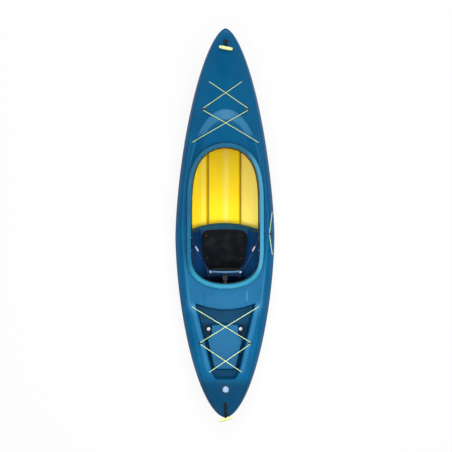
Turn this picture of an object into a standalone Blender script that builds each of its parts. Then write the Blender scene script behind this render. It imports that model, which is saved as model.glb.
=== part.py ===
"""Ten foot sit-in recreational kayak, with its seat, backrest, foot braces, deck cords, handles and drain.

Metres. +Z is up, +Y is the bow and +X is starboard. The origin is the bottom centre of the box that
the whole kayak fills, so the hull is shifted forward by half of what the stern handle hangs behind it.
All other numbers are in the hull's own frame, whose Y is 0 halfway between the stem and the stern.
"""
import math

import bmesh
import bpy
from mathutils import Matrix, Vector
from mathutils.bvhtree import BVHTree

# Hull form
LENGTH = 3.048
BEAM = 0.781
WIDEST_Y = -0.108
SHEER_MID = 0.185
SHEER_BOW = 0.315
SHEER_STERN = 0.285
FLAT_BOW_Y = 0.55
FLAT_STERN_Y = -0.75
TIP_STEPS = (0.150, 0.098, 0.055, 0.023, 0.005, 0.0)
MIDDLE_STATIONS = (-0.62, -0.42, WIDEST_Y, 0.10, 0.33)
WALL = 0.004
GAP = 0.0003
SEAM_STRIP = 0.006
KEEL_HALF = 0.115
GROOVE_WIDTH = 0.028
GROOVE_DEPTH = 0.016
GROOVE_SLOPE = 0.006
SKEG_HALF = 0.016
SKEG_LENGTH = 0.35
SKEG_INSET = 0.125
SKEG_CLEAR = 0.012

# Deck form
SIDE_RISE = 0.055
CROWN = 0.030
SIDE_SHARE_BOW = 0.13
SIDE_SHARE_STERN = 0.19
HOOD_RISE = 0.045
HOOD_HALF = 0.30
HOOD_REACH = 0.65
HOOD_Y = 0.25
POD_RISE = 0.008
POD_HALF = 0.165

# Tank well in the rear deck, its half widths as shares of half the beam
WELL_INSET = 0.145
WELL_LENGTH = 0.602
WELL_FRONT_SHARE = 0.6146
WELL_REAR_SHARE = 0.2766
WELL_END_SHARE = 0.1972
WELL_END_LENGTH = 0.054
WELL_FLOOR_Z = 0.174
WELL_WALL_RUN = 0.016
WELL_END_RUN = 0.018
WELL_SCALLOP = 0.050
WELL_APRON = 0.075
ROW_STEP = 0.030
PAD_INSET = 0.173
PAD_RISE = 0.024
PAD_RUN = 0.010
PAD_WIDEST = 0.126
PAD_FLARE = 0.038
PAD_FRONT_HALF = 0.102
PAD_WIDE_HALF = 0.135
PAD_REAR_HALF = 0.087
PAD_REAR_INSET = 0.076
SCUPPER_X = 0.126
SCUPPER_INSET = 0.212
SCUPPER_R = 0.015

# Cockpit rim, called the coaming
COCKPIT_HALF = 0.268
COCKPIT_Y = -0.05
COCKPIT_FRONT = 0.642
COCKPIT_REAR = 0.430
FRONT_POWER = 4.6
REAR_POWER = 5.7
COAMING_WIDTH = 0.038
COAMING_RISE = 0.020
SKIRT_DEPTH = 0.042
SKIRT_LEAN = 0.006
DECK_CUT = 0.0035
COAMING_STEPS = 44
TRIM_WALL = 0.0022
TRIM_GRIP = 0.007

# Seat
SEAT_FRONT_Y = 0.0
SEAT_ARC = 0.054
PAD_FRONT_Y = -0.054
PAD_LENGTH = 0.308
PAD_FRONT_WIDTH = 0.366
PAD_REAR_WIDTH = 0.256
CUSHION_HEIGHT = 0.022
SEAT_Z = 0.050
SEAT_TILT = 0.06
SEAT_BACK_Y = -0.476
SEAT_REAR_HALF = 0.185
WING_Z = 0.175
SEAT_WALL = 0.004
SEAT_MARGIN = 0.007
SEAT_INSET = -0.002
CUSHION_TAPER = 2.5
TAB_LENGTH = 0.15
TAB_Y = -0.165
STUD_R = 0.007
BOLT_R = 0.003
BOLT_HEAD_R = 0.008
BOLT_HEAD = 0.003
NUT_R = 0.0055
NUT = 0.004
RIVET_R = 0.006
SLOPE_SHIM = 0.0009
BOLT_SPACING = 0.10
BOLT_DROP = 0.018
FASTENER_STEPS = 8

# Backrest
HINGE_Y = -0.3765
HINGE_Z = 0.085
ROD_R = 0.005
ROD_HALF = 0.122
RUNNING = 0.0005
LUG_X = 0.105
LUG_R = 0.012
LUG_THICK = 0.008
KNUCKLE_X = 0.085
KNUCKLE_LENGTH = 0.020
KNUCKLE_R = 0.011
BACK_HEIGHT = 0.213
BACK_TOP_HALF = 0.129
BACK_NECK = 0.018
BACK_THICK = 0.005
BACK_CURVE = 0.008
BACK_LEAN = math.radians(3)
BACK_CUSHION = 0.020
BACK_MARGIN = 0.022
WEBBING_WIDTH = 0.025
WEBBING_THICK = 0.002
RIVET_INSET = 0.012
SIDE_STRAP_UP = 0.185
REAR_STRAP_UP = 0.160

# Cords and deck fittings: for the crossed cords a share of the half breadth and Y from the cockpit's ends.
# The paddle cord's ends are X from the gunwale, and its middle is a share of the way from there to the rim.
CORD_R = 0.003
BOW_CORD = ((0.5964, 0.515), (0.6450, 0.3), (0.8146, 0.04))
STERN_CORD = ((0.7595, 0.1765), (0.6642, 0.463), (0.5486, 0.688))
PADDLE_ENDS = ((0.012, 0.087), (0.014, -0.249))
PADDLE_MIDDLE = (0.49, -0.085)
KNOT_SWELL = 2.0
SADDLE_HALF = 0.018
SADDLE_PLATE = 0.003
SADDLE_DEPTH = 0.010
SADDLE_INNER = 0.005
SADDLE_LEG = 0.004

# Carrying handles
HANDLE_INSET = 0.098
STERN_HANDLE_INSET = 0.108
BOW_REACH = 0.058
TOGGLE_LENGTH = 0.107
TOGGLE_R = 0.013
TOGGLE_WAIST = 0.006
LOOP_R = 0.003
EYE_HALF = 0.014
EYE_PLATE_HALF = 0.028
EYE_THICK = 0.004
EYE_DEPTH = 0.008
EYE_INNER = 0.010
EYE_CORNER = 0.005
STERN_CLEAR = 0.014

# Drain
DRAIN_INSET = 0.2215
DRAIN_HOLE_R = 0.020
DRAIN_BORE_R = 0.0165
DRAIN_FLANGE_R = 0.030
DRAIN_FLANGE = 0.004
DRAIN_NECK = 0.012
PLUG_R = 0.0235
PLUG_HEIGHT = 0.011
PLUG_STEM = 0.014
GASKET = 0.0025

# Foot braces
BRACE_Z = 0.150
BRACE_Y = 0.81
RAIL_LENGTH = 0.38
RAIL_HEIGHT = 0.024
RAIL_THICK = 0.010
RAIL_STANDOFF = 0.007
PEDAL_WIDTH = 0.080
PEDAL_HEIGHT = 0.105
PEDAL_RAISE = 0.009
PEDAL_THICK = 0.008
CARRIAGE_LENGTH = 0.060
CARRIAGE_WALL = 0.004
SLIDE_GAP = 0.0006

# Foam
BOW_FOAM_HALF = 0.035
BOW_FOAM_Y = (1.03, 1.28)
STERN_FOAM_HALF = 0.040
SEAT_FOAM_HALF = 0.085
SEAT_FOAM_LENGTH = 0.27

SIDE_RIVET_X = BACK_TOP_HALF - RIVET_INSET
COCKPIT_BOW_Y = COCKPIT_Y + COCKPIT_FRONT
COCKPIT_STERN_Y = COCKPIT_Y - COCKPIT_REAR
WELL_FRONT_HALF = WELL_FRONT_SHARE * BEAM / 2
WELL_REAR_HALF = WELL_REAR_SHARE * BEAM / 2
WELL_END_HALF = WELL_END_SHARE * BEAM / 2
WELL_Y = COCKPIT_STERN_Y - WELL_INSET
WELL_END_Y = WELL_Y - WELL_LENGTH
PAD_Y = WELL_Y - PAD_INSET
PAD_END_Y = WELL_END_Y + PAD_REAR_INSET
SCUPPER_Y = WELL_Y - SCUPPER_INSET
BOW_Y = LENGTH / 2
STERN_Y = -LENGTH / 2
SKEG_END_Y = STERN_Y + SKEG_INSET


for item in list(bpy.data.objects):
    bpy.data.objects.remove(item, do_unlink=True)


def new_collection(name):
    group = bpy.data.collections.new(name)
    bpy.context.scene.collection.children.link(group)
    return group


PARTS = new_collection("sit_in_kayak")
CUTTERS = new_collection("cutters")
ORIGIN = bpy.data.objects.new("hull_frame", None)
PARTS.objects.link(ORIGIN)


def paint(name, red, green, blue, roughness, metallic=0.0):
    """Principled material; the colour is given as sRGB from 0 to 255."""
    surface = bpy.data.materials.new(name)
    surface.use_nodes = True
    shader = surface.node_tree.nodes["Principled BSDF"]
    linear = [((channel / 255 + 0.055) / 1.055) ** 2.4 for channel in (red, green, blue)]
    shader.inputs["Base Color"].default_value = (*linear, 1)
    shader.inputs["Roughness"].default_value = roughness
    shader.inputs["Metallic"].default_value = metallic
    return surface


BLUE = paint("blue_polyethylene", 12, 96, 140, 0.35)
TEAL = paint("teal_polyethylene", 20, 104, 136, 0.40)
NAVY = paint("navy_polyethylene", 12, 66, 104, 0.45)
YELLOW = paint("yellow_cord", 240, 220, 60, 0.55)
YELLOW_PLASTIC = paint("yellow_plastic", 236, 226, 90, 0.40)
BLACK = paint("black_nylon", 22, 24, 26, 0.55)
CLOTH = paint("black_cloth", 19, 27, 33, 0.90)
WEB = paint("black_webbing", 28, 30, 34, 0.85)
RUBBER = paint("black_rubber", 18, 20, 22, 0.80)
PALE = paint("pale_plastic", 170, 190, 222, 0.40)
GREY = paint("grey_nylon", 176, 164, 166, 0.45)
STEEL = paint("stainless_steel", 190, 192, 195, 0.30, 1.0)
FOAM = paint("white_foam", 225, 226, 222, 0.90)


def place(name, data, surface, location=(0, 0, 0), rotation=(0, 0, 0), parent=None):
    """Put a mesh or curve in the model as the named sub-part."""
    item = bpy.data.objects.new(name, data)
    item.location = location
    item.rotation_euler = rotation
    item.parent = parent or ORIGIN
    if not data.materials:
        data.materials.append(surface)
    PARTS.objects.link(item)
    return item


def tool(name, data, location=(0, 0, 0), rotation=(0, 0, 0), parent=None):
    """Put a mesh beside the model as a cutter or as a shape to be joined on."""
    item = bpy.data.objects.new(name, data)
    item.location = location
    item.rotation_euler = rotation
    item.parent = parent or ORIGIN
    item.hide_render = True
    item.display_type = "WIRE"
    CUTTERS.objects.link(item)
    return item


def combine(target, other, operation):
    """Boolean of a sub-part with a tool; the operation is DIFFERENCE or UNION."""
    change = target.modifiers.new(other.name, "BOOLEAN")
    change.operation = operation
    change.object = other
    change.solver = "EXACT"


def thicken(item, thickness):
    """Wall of an open surface, laid behind the face that shows."""
    shell = item.modifiers.new("wall", "SOLIDIFY")
    shell.thickness = thickness
    shell.offset = -1


def mesh_of(name, shape, angle=35):
    """Finish a bmesh, with smooth shading between edges that turn less than the angle."""
    data = bpy.data.meshes.new(name)
    shape.to_mesh(data)
    shape.free()
    data.shade_smooth()
    data.set_sharp_from_angle(angle=math.radians(angle))
    return data


def sheet(name, rows, ring=False, flip=False):
    """Open surface through rows of points; a point left out as None leaves its faces out too.

    Each four points make two triangles, whose shared edge is mirrored about the middle column, so that
    the surface is the same on both sides and doesn't change when something is cut out of it.
    """
    shape = bmesh.new()
    grid = [[point and shape.verts.new(point) for point in row] for row in rows]
    if ring:
        grid.append(grid[0])
    for row, following in zip(grid, grid[1:]):
        for side in range(len(row) - 1):
            a, b, c, d = row[side], row[side + 1], following[side + 1], following[side]
            halves = [(a, b, c), (a, c, d)] if 2 * side < len(row) - 1 else [(a, b, d), (b, c, d)]
            if all((a, b, c, d)):
                for corners in halves:
                    shape.faces.new(corners[::-1] if flip else corners)
    bmesh.ops.remove_doubles(shape, verts=shape.verts, dist=1e-6)
    return mesh_of(name, shape)


def loft(name, sections, ring=False):
    """Closed solid through sections of equally many points; ends are capped unless it is a ring."""
    shape = bmesh.new()
    grid = [[shape.verts.new(point) for point in section] for section in sections]
    count = len(sections[0])
    pairs = list(zip(grid, grid[1:]))
    if ring:
        pairs.append((grid[-1], grid[0]))
    else:
        shape.faces.new(grid[0])
        shape.faces.new(grid[-1])
    for near, far in pairs:
        for side in range(count):
            after = (side + 1) % count
            shape.faces.new((near[side], near[after], far[after], far[side]))
    bmesh.ops.recalc_face_normals(shape, faces=shape.faces)
    return mesh_of(name, shape)


def prism(name, outline, low, high):
    """Upright solid on a flat outline of (x, y) points."""
    return loft(name, [[(x, y, height) for x, y in outline] for height in (low, high)])


def box(name, size, centre=(0, 0, 0)):
    shape = bmesh.new()
    frame = Matrix.Translation(centre) @ Matrix.Diagonal((*size, 1))
    bmesh.ops.create_cube(shape, size=1, matrix=frame)
    return mesh_of(name, shape)


def drill(target, name, holes, parent=None, sides=12):
    """Cut round holes; each is its centre, its direction, its radius and its length."""
    shape = bmesh.new()
    for centre, direction, radius, length in holes:
        turn = Vector((0, 0, 1)).rotation_difference(Vector(direction)).to_matrix().to_4x4()
        frame = Matrix.Translation(centre) @ turn
        bmesh.ops.create_cone(
            shape, cap_ends=True, segments=sides, radius1=radius, radius2=radius, depth=length, matrix=frame
        )
    combine(target, tool(name, mesh_of(name, shape), parent=parent), "DIFFERENCE")


def turned(name, profile, surface, steps, location, rotation=(0, 0, 0), closed=False, parent=None):
    """Turned piece from a profile of (radius, height), run down its outer side; closed makes a ring."""
    data = bpy.data.meshes.new(name)
    count = len(profile)
    edges = [(i, i + 1) for i in range(count - 1)]
    if closed:
        edges.append((count - 1, 0))
    data.from_pydata([(radius, 0, height) for radius, height in profile], edges, [])
    item = place(name, data, surface, location, rotation, parent)
    screw = item.modifiers.new("turn", "SCREW")
    screw.steps = steps
    screw.render_steps = steps
    screw.use_merge_vertices = True
    screw.merge_threshold = 1e-5
    return item


def tube(name, points, radius, surface, swell=None, ring=False, parent=None):
    """Round cord through the points; swell gives the share of the radius at each of them."""
    data = bpy.data.curves.new(name, "CURVE")
    data.dimensions = "3D"
    data.bevel_depth = radius
    data.bevel_resolution = 1
    data.use_fill_caps = True
    line = data.splines.new("POLY")
    line.points.add(len(points) - 1)
    line.use_cyclic_u = ring
    for index, point in enumerate(points):
        line.points[index].co = (*point, 1)
        line.points[index].radius = swell[index] if swell else 1
    return place(name, data, surface, parent=parent)


def plate(name, outline, thickness, surface, location, rotation):
    """Flat piece of the given thickness, whose outline lies in its own XY plane."""
    data = bpy.data.curves.new(name, "CURVE")
    data.dimensions = "2D"
    data.fill_mode = "BOTH"
    data.extrude = thickness / 2
    line = data.splines.new("POLY")
    line.points.add(len(outline) - 1)
    line.use_cyclic_u = True
    for index, (x, y) in enumerate(outline):
        line.points[index].co = (x, y, 0, 1)
    return place(name, data, surface, location, rotation)


def arc(centre, radius, start, end, steps):
    """Points of a circular arc from the start to the end angle, in degrees."""
    angles = [math.radians(start + (end - start) * step / steps) for step in range(steps + 1)]
    return [(centre[0] + radius * math.cos(a), centre[1] + radius * math.sin(a)) for a in angles]


def clamp(value, low=0.0, high=1.0):
    return max(low, min(high, value))


def smooth(value):
    value = clamp(value)
    return value * value * (3 - 2 * value)


def mix(first, second, share):
    return first + (second - first) * share


def between(first, second, count):
    """Evenly spaced values after the first, up to and including the second."""
    return [mix(first, second, (step + 1) / count) for step in range(count)]


def reach(y):
    """Share of the way from the widest station to the tip, 0 to 1."""
    tip = BOW_Y if y > WIDEST_Y else STERN_Y
    return clamp((y - WIDEST_Y) / (tip - WIDEST_Y))


def half_breadth(y):
    """Half the beam at y: half = BEAM / 2 (1 - t^p)^q, where t is the share of the way to the tip."""
    power, root = (1.585, 0.60) if y > WIDEST_Y else (1.687, 0.55)
    return BEAM / 2 * (1 - reach(y) ** power) ** root


def sheer(y):
    """Height of the seam between hull and deck, rising to both tips as t^2.2."""
    tip = SHEER_BOW if y > WIDEST_Y else SHEER_STERN
    return SHEER_MID + (tip - SHEER_MID) * reach(y) ** 2.2


def fullness(y):
    """Share of the midship section's height that is left at y, sqrt(1 - t^4)."""
    return math.sqrt(1 - reach(y) ** 4)


def keel(y):
    """Height of the bottom: flat amidships, then 1 - sqrt(1 - s^3) of the height up to each tip."""
    flat, tip, height = (FLAT_BOW_Y, BOW_Y, SHEER_BOW) if y > 0 else (FLAT_STERN_Y, STERN_Y, SHEER_STERN)
    share = clamp((y - flat) / (tip - flat))
    return (height - SEAM_STRIP) * (1 - math.sqrt(1 - share ** 3))


def keel_scale(y):
    """The flat bottom panel and its grooves narrow where the hull does."""
    return min(1.0, half_breadth(y) / 0.30)


def hull_height(x, y):
    """Outer height of the bottom: z = keel + depth (1 - (1 - s^n)^(1/m)), s across from the flat panel."""
    half = half_breadth(y)
    flat = KEEL_HALF * keel_scale(y)
    across = clamp((abs(x) - flat) / max(half - flat, 1e-6))
    bulge = 1.4 + 0.8 * fullness(y)
    side = 1.6 + 0.4 * fullness(y)
    rise = 1 - (1 - across ** bulge) ** (1 / side)
    return keel(y) + (sheer(y) - SEAM_STRIP - keel(y)) * rise


def side_share(y):
    """Share of the half breadth that the slanted side panel of the deck takes."""
    return mix(SIDE_SHARE_BOW, SIDE_SHARE_STERN, smooth((0.1 - y) / 0.7))


def hood(x, y):
    """Raised deck round the front of the cockpit, half an ellipse ahead and fading aft."""
    forward = max(0.0, (y - HOOD_Y) / HOOD_REACH)
    inside = 1 - math.hypot(x / HOOD_HALF, forward)
    return HOOD_RISE * smooth(inside / 0.26) * smooth((y + 0.40) / 0.75)


def deck_height(x, y):
    """Outer height of the deck: seam, slanted side panel, crown, hood and the low pod behind the seat."""
    half = max(half_breadth(y), 1e-6)
    up = clamp((half - abs(x)) / (side_share(y) * half))
    side = SIDE_RISE * (1 - (1 - up) ** 1.8)
    crown = CROWN * (1 - (x / half) ** 2)
    pod = POD_RISE * smooth((POD_HALF + 0.01 - abs(x)) / 0.02)
    pod *= smooth((COCKPIT_STERN_Y - 0.045 - y) / 0.02) * smooth((y - WELL_Y + 0.10) / 0.05)
    return sheer(y) + SEAM_STRIP + fullness(y) * (side + crown) + hood(x, y) + pod


def tip_stations(tip):
    """Stations that close up towards a tip, nearest last."""
    inward = -1 if tip > 0 else 1
    return [tip + inward * step for step in TIP_STEPS]


def shared_stations():
    """Stations of both shells, stern to bow, so that their seams are the same line."""
    stern = tip_stations(STERN_Y)[::-1]
    aft = between(stern[-1], SKEG_END_Y + SKEG_LENGTH, 3) + [SCUPPER_Y, FLAT_STERN_Y]
    middle = [*MIDDLE_STATIONS, FLAT_BOW_Y]
    forward = between(FLAT_BOW_Y, BOW_Y - TIP_STEPS[0], 6)
    return stern + aft + middle + forward + tip_stations(BOW_Y)[1:]


SHARED = shared_stations()


def seam(y):
    """Half breadth and height of the seam, on the straight runs between the shared stations."""
    for near, far in zip(SHARED, SHARED[1:]):
        if near <= y <= far:
            share = (y - near) / (far - near)
            half = mix(half_breadth(near), half_breadth(far), share)
            return half, mix(sheer(near), sheer(far), share)
    raise ValueError("station outside the hull")


def skeg_bottom(y):
    """Lower edge of the skeg, from the keel at its front to a clearance above the ground at its heel."""
    share = clamp((SKEG_END_Y + SKEG_LENGTH - y) / SKEG_LENGTH)
    return min(keel(y), SKEG_CLEAR * share)


def hull_row(y, skeg):
    """Points of the hull's outside at one station, port seam to starboard seam."""
    half, rim = seam(y)
    scale = keel_scale(y)
    flat = KEEL_HALF * scale
    width = GROOVE_WIDTH * scale
    groove = GROOVE_DEPTH * smooth((y - FLAT_STERN_Y) / 0.12) * smooth((1.05 - y) / 0.2)
    outer = flat + width
    side = [mix(outer, half, share) for share in (0.48, 0.77, 0.92, 0.985)]
    ribs = [flat + GROOVE_SLOPE * scale, outer - GROOVE_SLOPE * scale]
    points = [(flat, 0.0), (ribs[0], groove), (ribs[1], groove), (outer, 0.0)] + [(x, 0.0) for x in side]
    right = [(x, y, hull_height(min(x, half), y) + lift) for x, lift in points]
    right += [(half, y, rim - SEAM_STRIP), (half, y, rim - GAP / 2)]
    inner = min(SKEG_HALF, 0.3 * half)
    right.insert(0, (inner, y, hull_height(inner, y)))
    middle = skeg_bottom(y) if skeg else keel(y)
    left = [(-x, y, z) for x, y, z in reversed(right)]
    return left + [(0, y, middle)] + right


def make_hull():
    """Lower shell: open surface through the stations, walled inwards; yellow inside and blue outside."""
    front = SKEG_END_Y + SKEG_LENGTH
    rows = [hull_row(y, SKEG_END_Y + 0.001 < y < front - 0.001) for y in SHARED]
    heel = hull_row(SKEG_END_Y + 0.02, True)
    after = hull_row(SKEG_END_Y, False)
    rows = sorted(rows + [heel, after], key=lambda row: row[0][1])
    hull = place("hull_shell", sheet("hull_shell", rows, flip=True), BLUE)
    thicken(hull, WALL)
    return hull


def well_half(y):
    """Half width of the tank well at its top, from its front down to its narrow round end."""
    straight = WELL_LENGTH - WELL_END_LENGTH
    if y > WELL_Y - straight:
        return mix(WELL_FRONT_HALF, WELL_REAR_HALF, clamp((WELL_Y - y) / straight))
    return mix(WELL_REAR_HALF, WELL_END_HALF, clamp((WELL_Y - straight - y) / WELL_END_LENGTH))


def pad_half(y):
    """Half width of the raised floor of the well: narrow beside the scuppers, then wide, then narrow."""
    wide = PAD_Y - PAD_WIDEST
    if y > wide:
        half = mix(PAD_FRONT_HALF, PAD_WIDE_HALF, smooth((wide + PAD_FLARE - y) / PAD_FLARE))
    else:
        half = mix(PAD_WIDE_HALF, PAD_REAR_HALF, clamp((wide - y) / (wide - PAD_END_Y)))
    return min(half, well_half(y) - WELL_WALL_RUN - 2 * PAD_RUN)


def deck_row(y, in_well=False, on_pad=False, drawn=1.0, scallop=0.0):
    """Points of the deck's outside at one station, port seam to starboard seam.

    drawn is how far the lines along the deck are drawn in to the edges of the tank well, from 0 to 1,
    and scallop is how far aft of the station the middle of the row lies.
    """
    half, rim = seam(y)
    panel = side_share(y) * half
    crease = half - panel
    free = [crease * share for share in (0.24, 0.44, 0.62, 0.80)]
    top = well_half(y)
    pad = pad_half(y)
    tight = [pad, pad + PAD_RUN, top - WELL_WALL_RUN, top]
    lines = [0.0] + [mix(a, b, drawn) for a, b in zip(free, tight)]
    lines += [crease] + [half - panel * up for up in (0.55, 0.22)]
    right = []
    for index, x in enumerate(lines):
        back = scallop * max(0.0, 1 - (x / top) ** 2) if index < 4 else 0.0
        height = deck_height(x, y - back)
        if in_well and index < 4:
            height = WELL_FLOOR_Z + (PAD_RISE if on_pad and index < 2 else 0.0)
        right.append((x, y - back, height))
    right += [(half, y, rim + SEAM_STRIP), (half, y, rim + GAP / 2)]
    return [(-x, y, z) for x, y, z in reversed(right[1:])] + right


def make_deck():
    """Upper shell, with the tank well sunk in it."""
    floor_front = WELL_Y - WELL_END_RUN
    floor_end = WELL_END_Y + WELL_END_RUN
    lowered = between(PAD_Y, PAD_Y - PAD_WIDEST, 3) + between(PAD_Y - PAD_WIDEST, PAD_END_Y, 3)
    well = [(PAD_Y + PAD_RUN, False), (PAD_Y, True)]
    well += [(y, True) for y in lowered] + [(PAD_END_Y - PAD_RUN, False), (floor_end, False)]
    rows = [deck_row(y, in_well=True, on_pad=pad) for y, pad in well]
    rows.append(deck_row(floor_front, in_well=True, scallop=WELL_SCALLOP))
    rows.append(deck_row(WELL_Y, scallop=WELL_SCALLOP))
    rows.append(deck_row(WELL_END_Y))
    rows.append(deck_row(PAD_Y + WELL_APRON, in_well=True))
    near_well = (WELL_END_Y - ROW_STEP, WELL_Y + 1.5 * ROW_STEP)
    outside = [y for y in SHARED if not WELL_END_Y - ROW_STEP < y < WELL_Y + ROW_STEP]
    outside += [COCKPIT_STERN_Y - COAMING_WIDTH, COCKPIT_BOW_Y + COAMING_WIDTH]
    rows += [deck_row(y, drawn=0.5) for y in near_well]
    rows += [deck_row(y, drawn=0.0) for y in outside]
    rows.sort(key=lambda row: row[0][1])
    deck = place("deck_shell", sheet("deck_shell", rows), BLUE)
    thicken(deck, WALL)
    return deck


def cockpit_frames(count):
    """Evenly spaced points round the opening with their outward normals, clockwise from its front.

    Ahead of COCKPIT_Y the edge is x = half sqrt(1 - t^p), with t the share of the way to its front,
    and behind it the same with the rear length and power.
    """
    dense = []
    for step in range(1440):
        angle = 2 * math.pi * step / 1440
        forward = math.cos(angle)
        length, power = (COCKPIT_FRONT, FRONT_POWER) if forward > 0 else (COCKPIT_REAR, REAR_POWER)
        share = abs(forward) ** (2 / power)
        point = Vector((COCKPIT_HALF * math.sin(angle), COCKPIT_Y + math.copysign(share * length, forward)))
        slope = math.copysign(power * share ** (power - 1) / length, forward)
        normal = Vector((2 * point.x / COCKPIT_HALF ** 2, slope)).normalized()
        dense.append((point, normal))
    lengths = [0.0]
    for index in range(1440):
        lengths.append(lengths[-1] + (dense[(index + 1) % 1440][0] - dense[index][0]).length)
    frames = []
    index = 0
    for step in range(count):
        wanted = lengths[-1] * step / count
        while lengths[index + 1] <= wanted:
            index += 1
        share = (wanted - lengths[index]) / (lengths[index + 1] - lengths[index])
        near, far = dense[index], dense[(index + 1) % 1440]
        frames.append((near[0].lerp(far[0], share), near[1].lerp(far[1], share).normalized()))
    return frames


def cockpit_half(y):
    """Half width of the opening at y."""
    length, power = (COCKPIT_FRONT, FRONT_POWER) if y > COCKPIT_Y else (COCKPIT_REAR, REAR_POWER)
    return COCKPIT_HALF * math.sqrt(1 - clamp(abs(y - COCKPIT_Y) / length) ** power)


def tree_of(item):
    """Search tree of a finished sub-part, for finding the surface that a fitting rests on."""
    bpy.context.view_layer.update()
    return BVHTree.FromObject(item, bpy.context.evaluated_depsgraph_get())


def cast(tree, start, direction):
    hit = tree.ray_cast(Vector(start), Vector(direction))[0]
    return hit if hit else None


def top_at(tree, x, y, spread=0.0):
    """Highest point of a surface near (x, y), looked for from above; None over an opening."""
    spots = {(0, 0), (-spread, 0), (spread, 0), (0, -spread), (0, spread)}
    hits = [cast(tree, (x + dx, y + dy, 2.0), (0, 0, -1)) for dx, dy in spots]
    heights = [hit.z for hit in hits if hit]
    return max(heights) if heights else None


def coaming_base(point, normal):
    """Height that the coaming stands on: the mean of the deck at its cut edge and under the crown."""
    heights = []
    for out in (WALL + DECK_CUT, COAMING_WIDTH / 2):
        under = point + normal * out
        heights.append(deck_height(under.x, under.y))
    return sum(heights) / 2


def skirt_line():
    """Inner wall of the coaming as its top and bottom, (outward, up) from the opening's edge."""
    return Vector((0, -0.002)), Vector((-SKIRT_LEAN, -SKIRT_DEPTH))


def make_coaming(deck_tree):
    """Rolled rim round the cockpit: skirt down inside, crown, and a foot that lands on the deck."""
    frames = cockpit_frames(COAMING_STEPS)
    top, bottom = skirt_line()
    arch = [(0.001, 0.012), (0.010, COAMING_RISE), (0.026, COAMING_RISE), (0.037, 0.012)]
    feet = []
    for point, normal in cockpit_frames(2 * COAMING_STEPS):
        spots = [point + normal * out for out in (COAMING_WIDTH, COAMING_WIDTH - WALL)]
        feet.append(max(top_at(deck_tree, spot.x, spot.y, 0.002) for spot in spots))
    rows = []
    for index, (point, normal) in enumerate(frames):
        base = coaming_base(point, normal)
        foot = max(feet[2 * index - 1], feet[2 * index], feet[(2 * index + 1) % len(feet)]) + GAP
        row = [bottom, top] + [Vector(corner) for corner in arch]
        line = [(*(point + normal * corner.x), base + corner.y) for corner in row]
        line.append((*(point + normal * COAMING_WIDTH), foot))
        rows.append(line)
    coaming = place("cockpit_coaming", sheet("cockpit_coaming", rows, ring=True, flip=True), BLUE)
    thicken(coaming, WALL)
    return coaming


def make_trim():
    """Rubber edging, a U in section, pushed on the lower edge of the coaming's skirt."""
    top, bottom = skirt_line()
    down = (bottom - top).normalized()
    back = Vector((-down.y, down.x))
    inner, outer = -GAP, WALL + GAP
    corners = [
        bottom + back * (inner - TRIM_WALL) - down * TRIM_GRIP,
        bottom + back * (inner - TRIM_WALL) + down * (GAP + TRIM_WALL),
        bottom + back * (outer + TRIM_WALL) + down * (GAP + TRIM_WALL),
        bottom + back * (outer + TRIM_WALL) - down * TRIM_GRIP,
        bottom + back * outer - down * TRIM_GRIP,
        bottom + back * outer + down * GAP,
        bottom + back * inner + down * GAP,
        bottom + back * inner - down * TRIM_GRIP,
    ]
    sections = []
    for point, normal in cockpit_frames(COAMING_STEPS):
        base = coaming_base(point, normal)
        sections.append([(*(point + normal * corner.x), base + corner.y) for corner in corners])
    return place("coaming_trim", loft("coaming_trim", sections, ring=True), RUBBER)


def seat_plane(y):
    """Height of the flat bottom of the bucket, rising slightly forward."""
    return SEAT_Z + SEAT_TILT * (y - PAD_FRONT_Y + PAD_LENGTH)


def cushion_half(y):
    """Half width of the seat cushion, wide in front and drawn in towards its rear corners."""
    share = clamp((PAD_FRONT_Y - y) / PAD_LENGTH) ** CUSHION_TAPER
    return mix(PAD_FRONT_WIDTH, PAD_REAR_WIDTH, share) / 2


def tab_half(y):
    """Where the seat's side tabs stand, just behind the coaming's skirt."""
    return cockpit_half(y) + WALL + 2 * GAP


def bolt_height(y):
    """Height of the seat bolts in the coaming's skirt."""
    return coaming_base(Vector((cockpit_half(y), y)), Vector((1, 0))) - BOLT_DROP


def seat_row(y, lift, wall, tab, arced):
    """Points across the seat at one station; lift raises the floor and wall says how tall its sides are."""
    bucket = cushion_half(y) + SEAT_MARGIN
    edge = max(cockpit_half(y) - SEAT_INSET, SEAT_REAR_HALF)
    heights = (0.10, 0.14, WING_Z)
    spots = [(x, None) for x in (0.0, bucket / 2, bucket)]
    spots += zip((bucket + 0.018, (bucket + edge) / 2 + 0.016, edge), heights)
    row = []
    for x, height in spots:
        back = y - arced * (x / edge) ** 2
        floor = seat_plane(back) + lift
        row.append((x, back, floor if height is None else mix(floor, height, wall)))
    stand = tab_half(y)
    if tab:
        row += [(stand, y, WING_Z + 0.002), (stand, y, bolt_height(y) + 0.009)]
    else:
        row += [None, None]
    mirrored = [point and (-point[0], point[1], point[2]) for point in reversed(row[1:])]
    return mirrored + row


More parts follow.
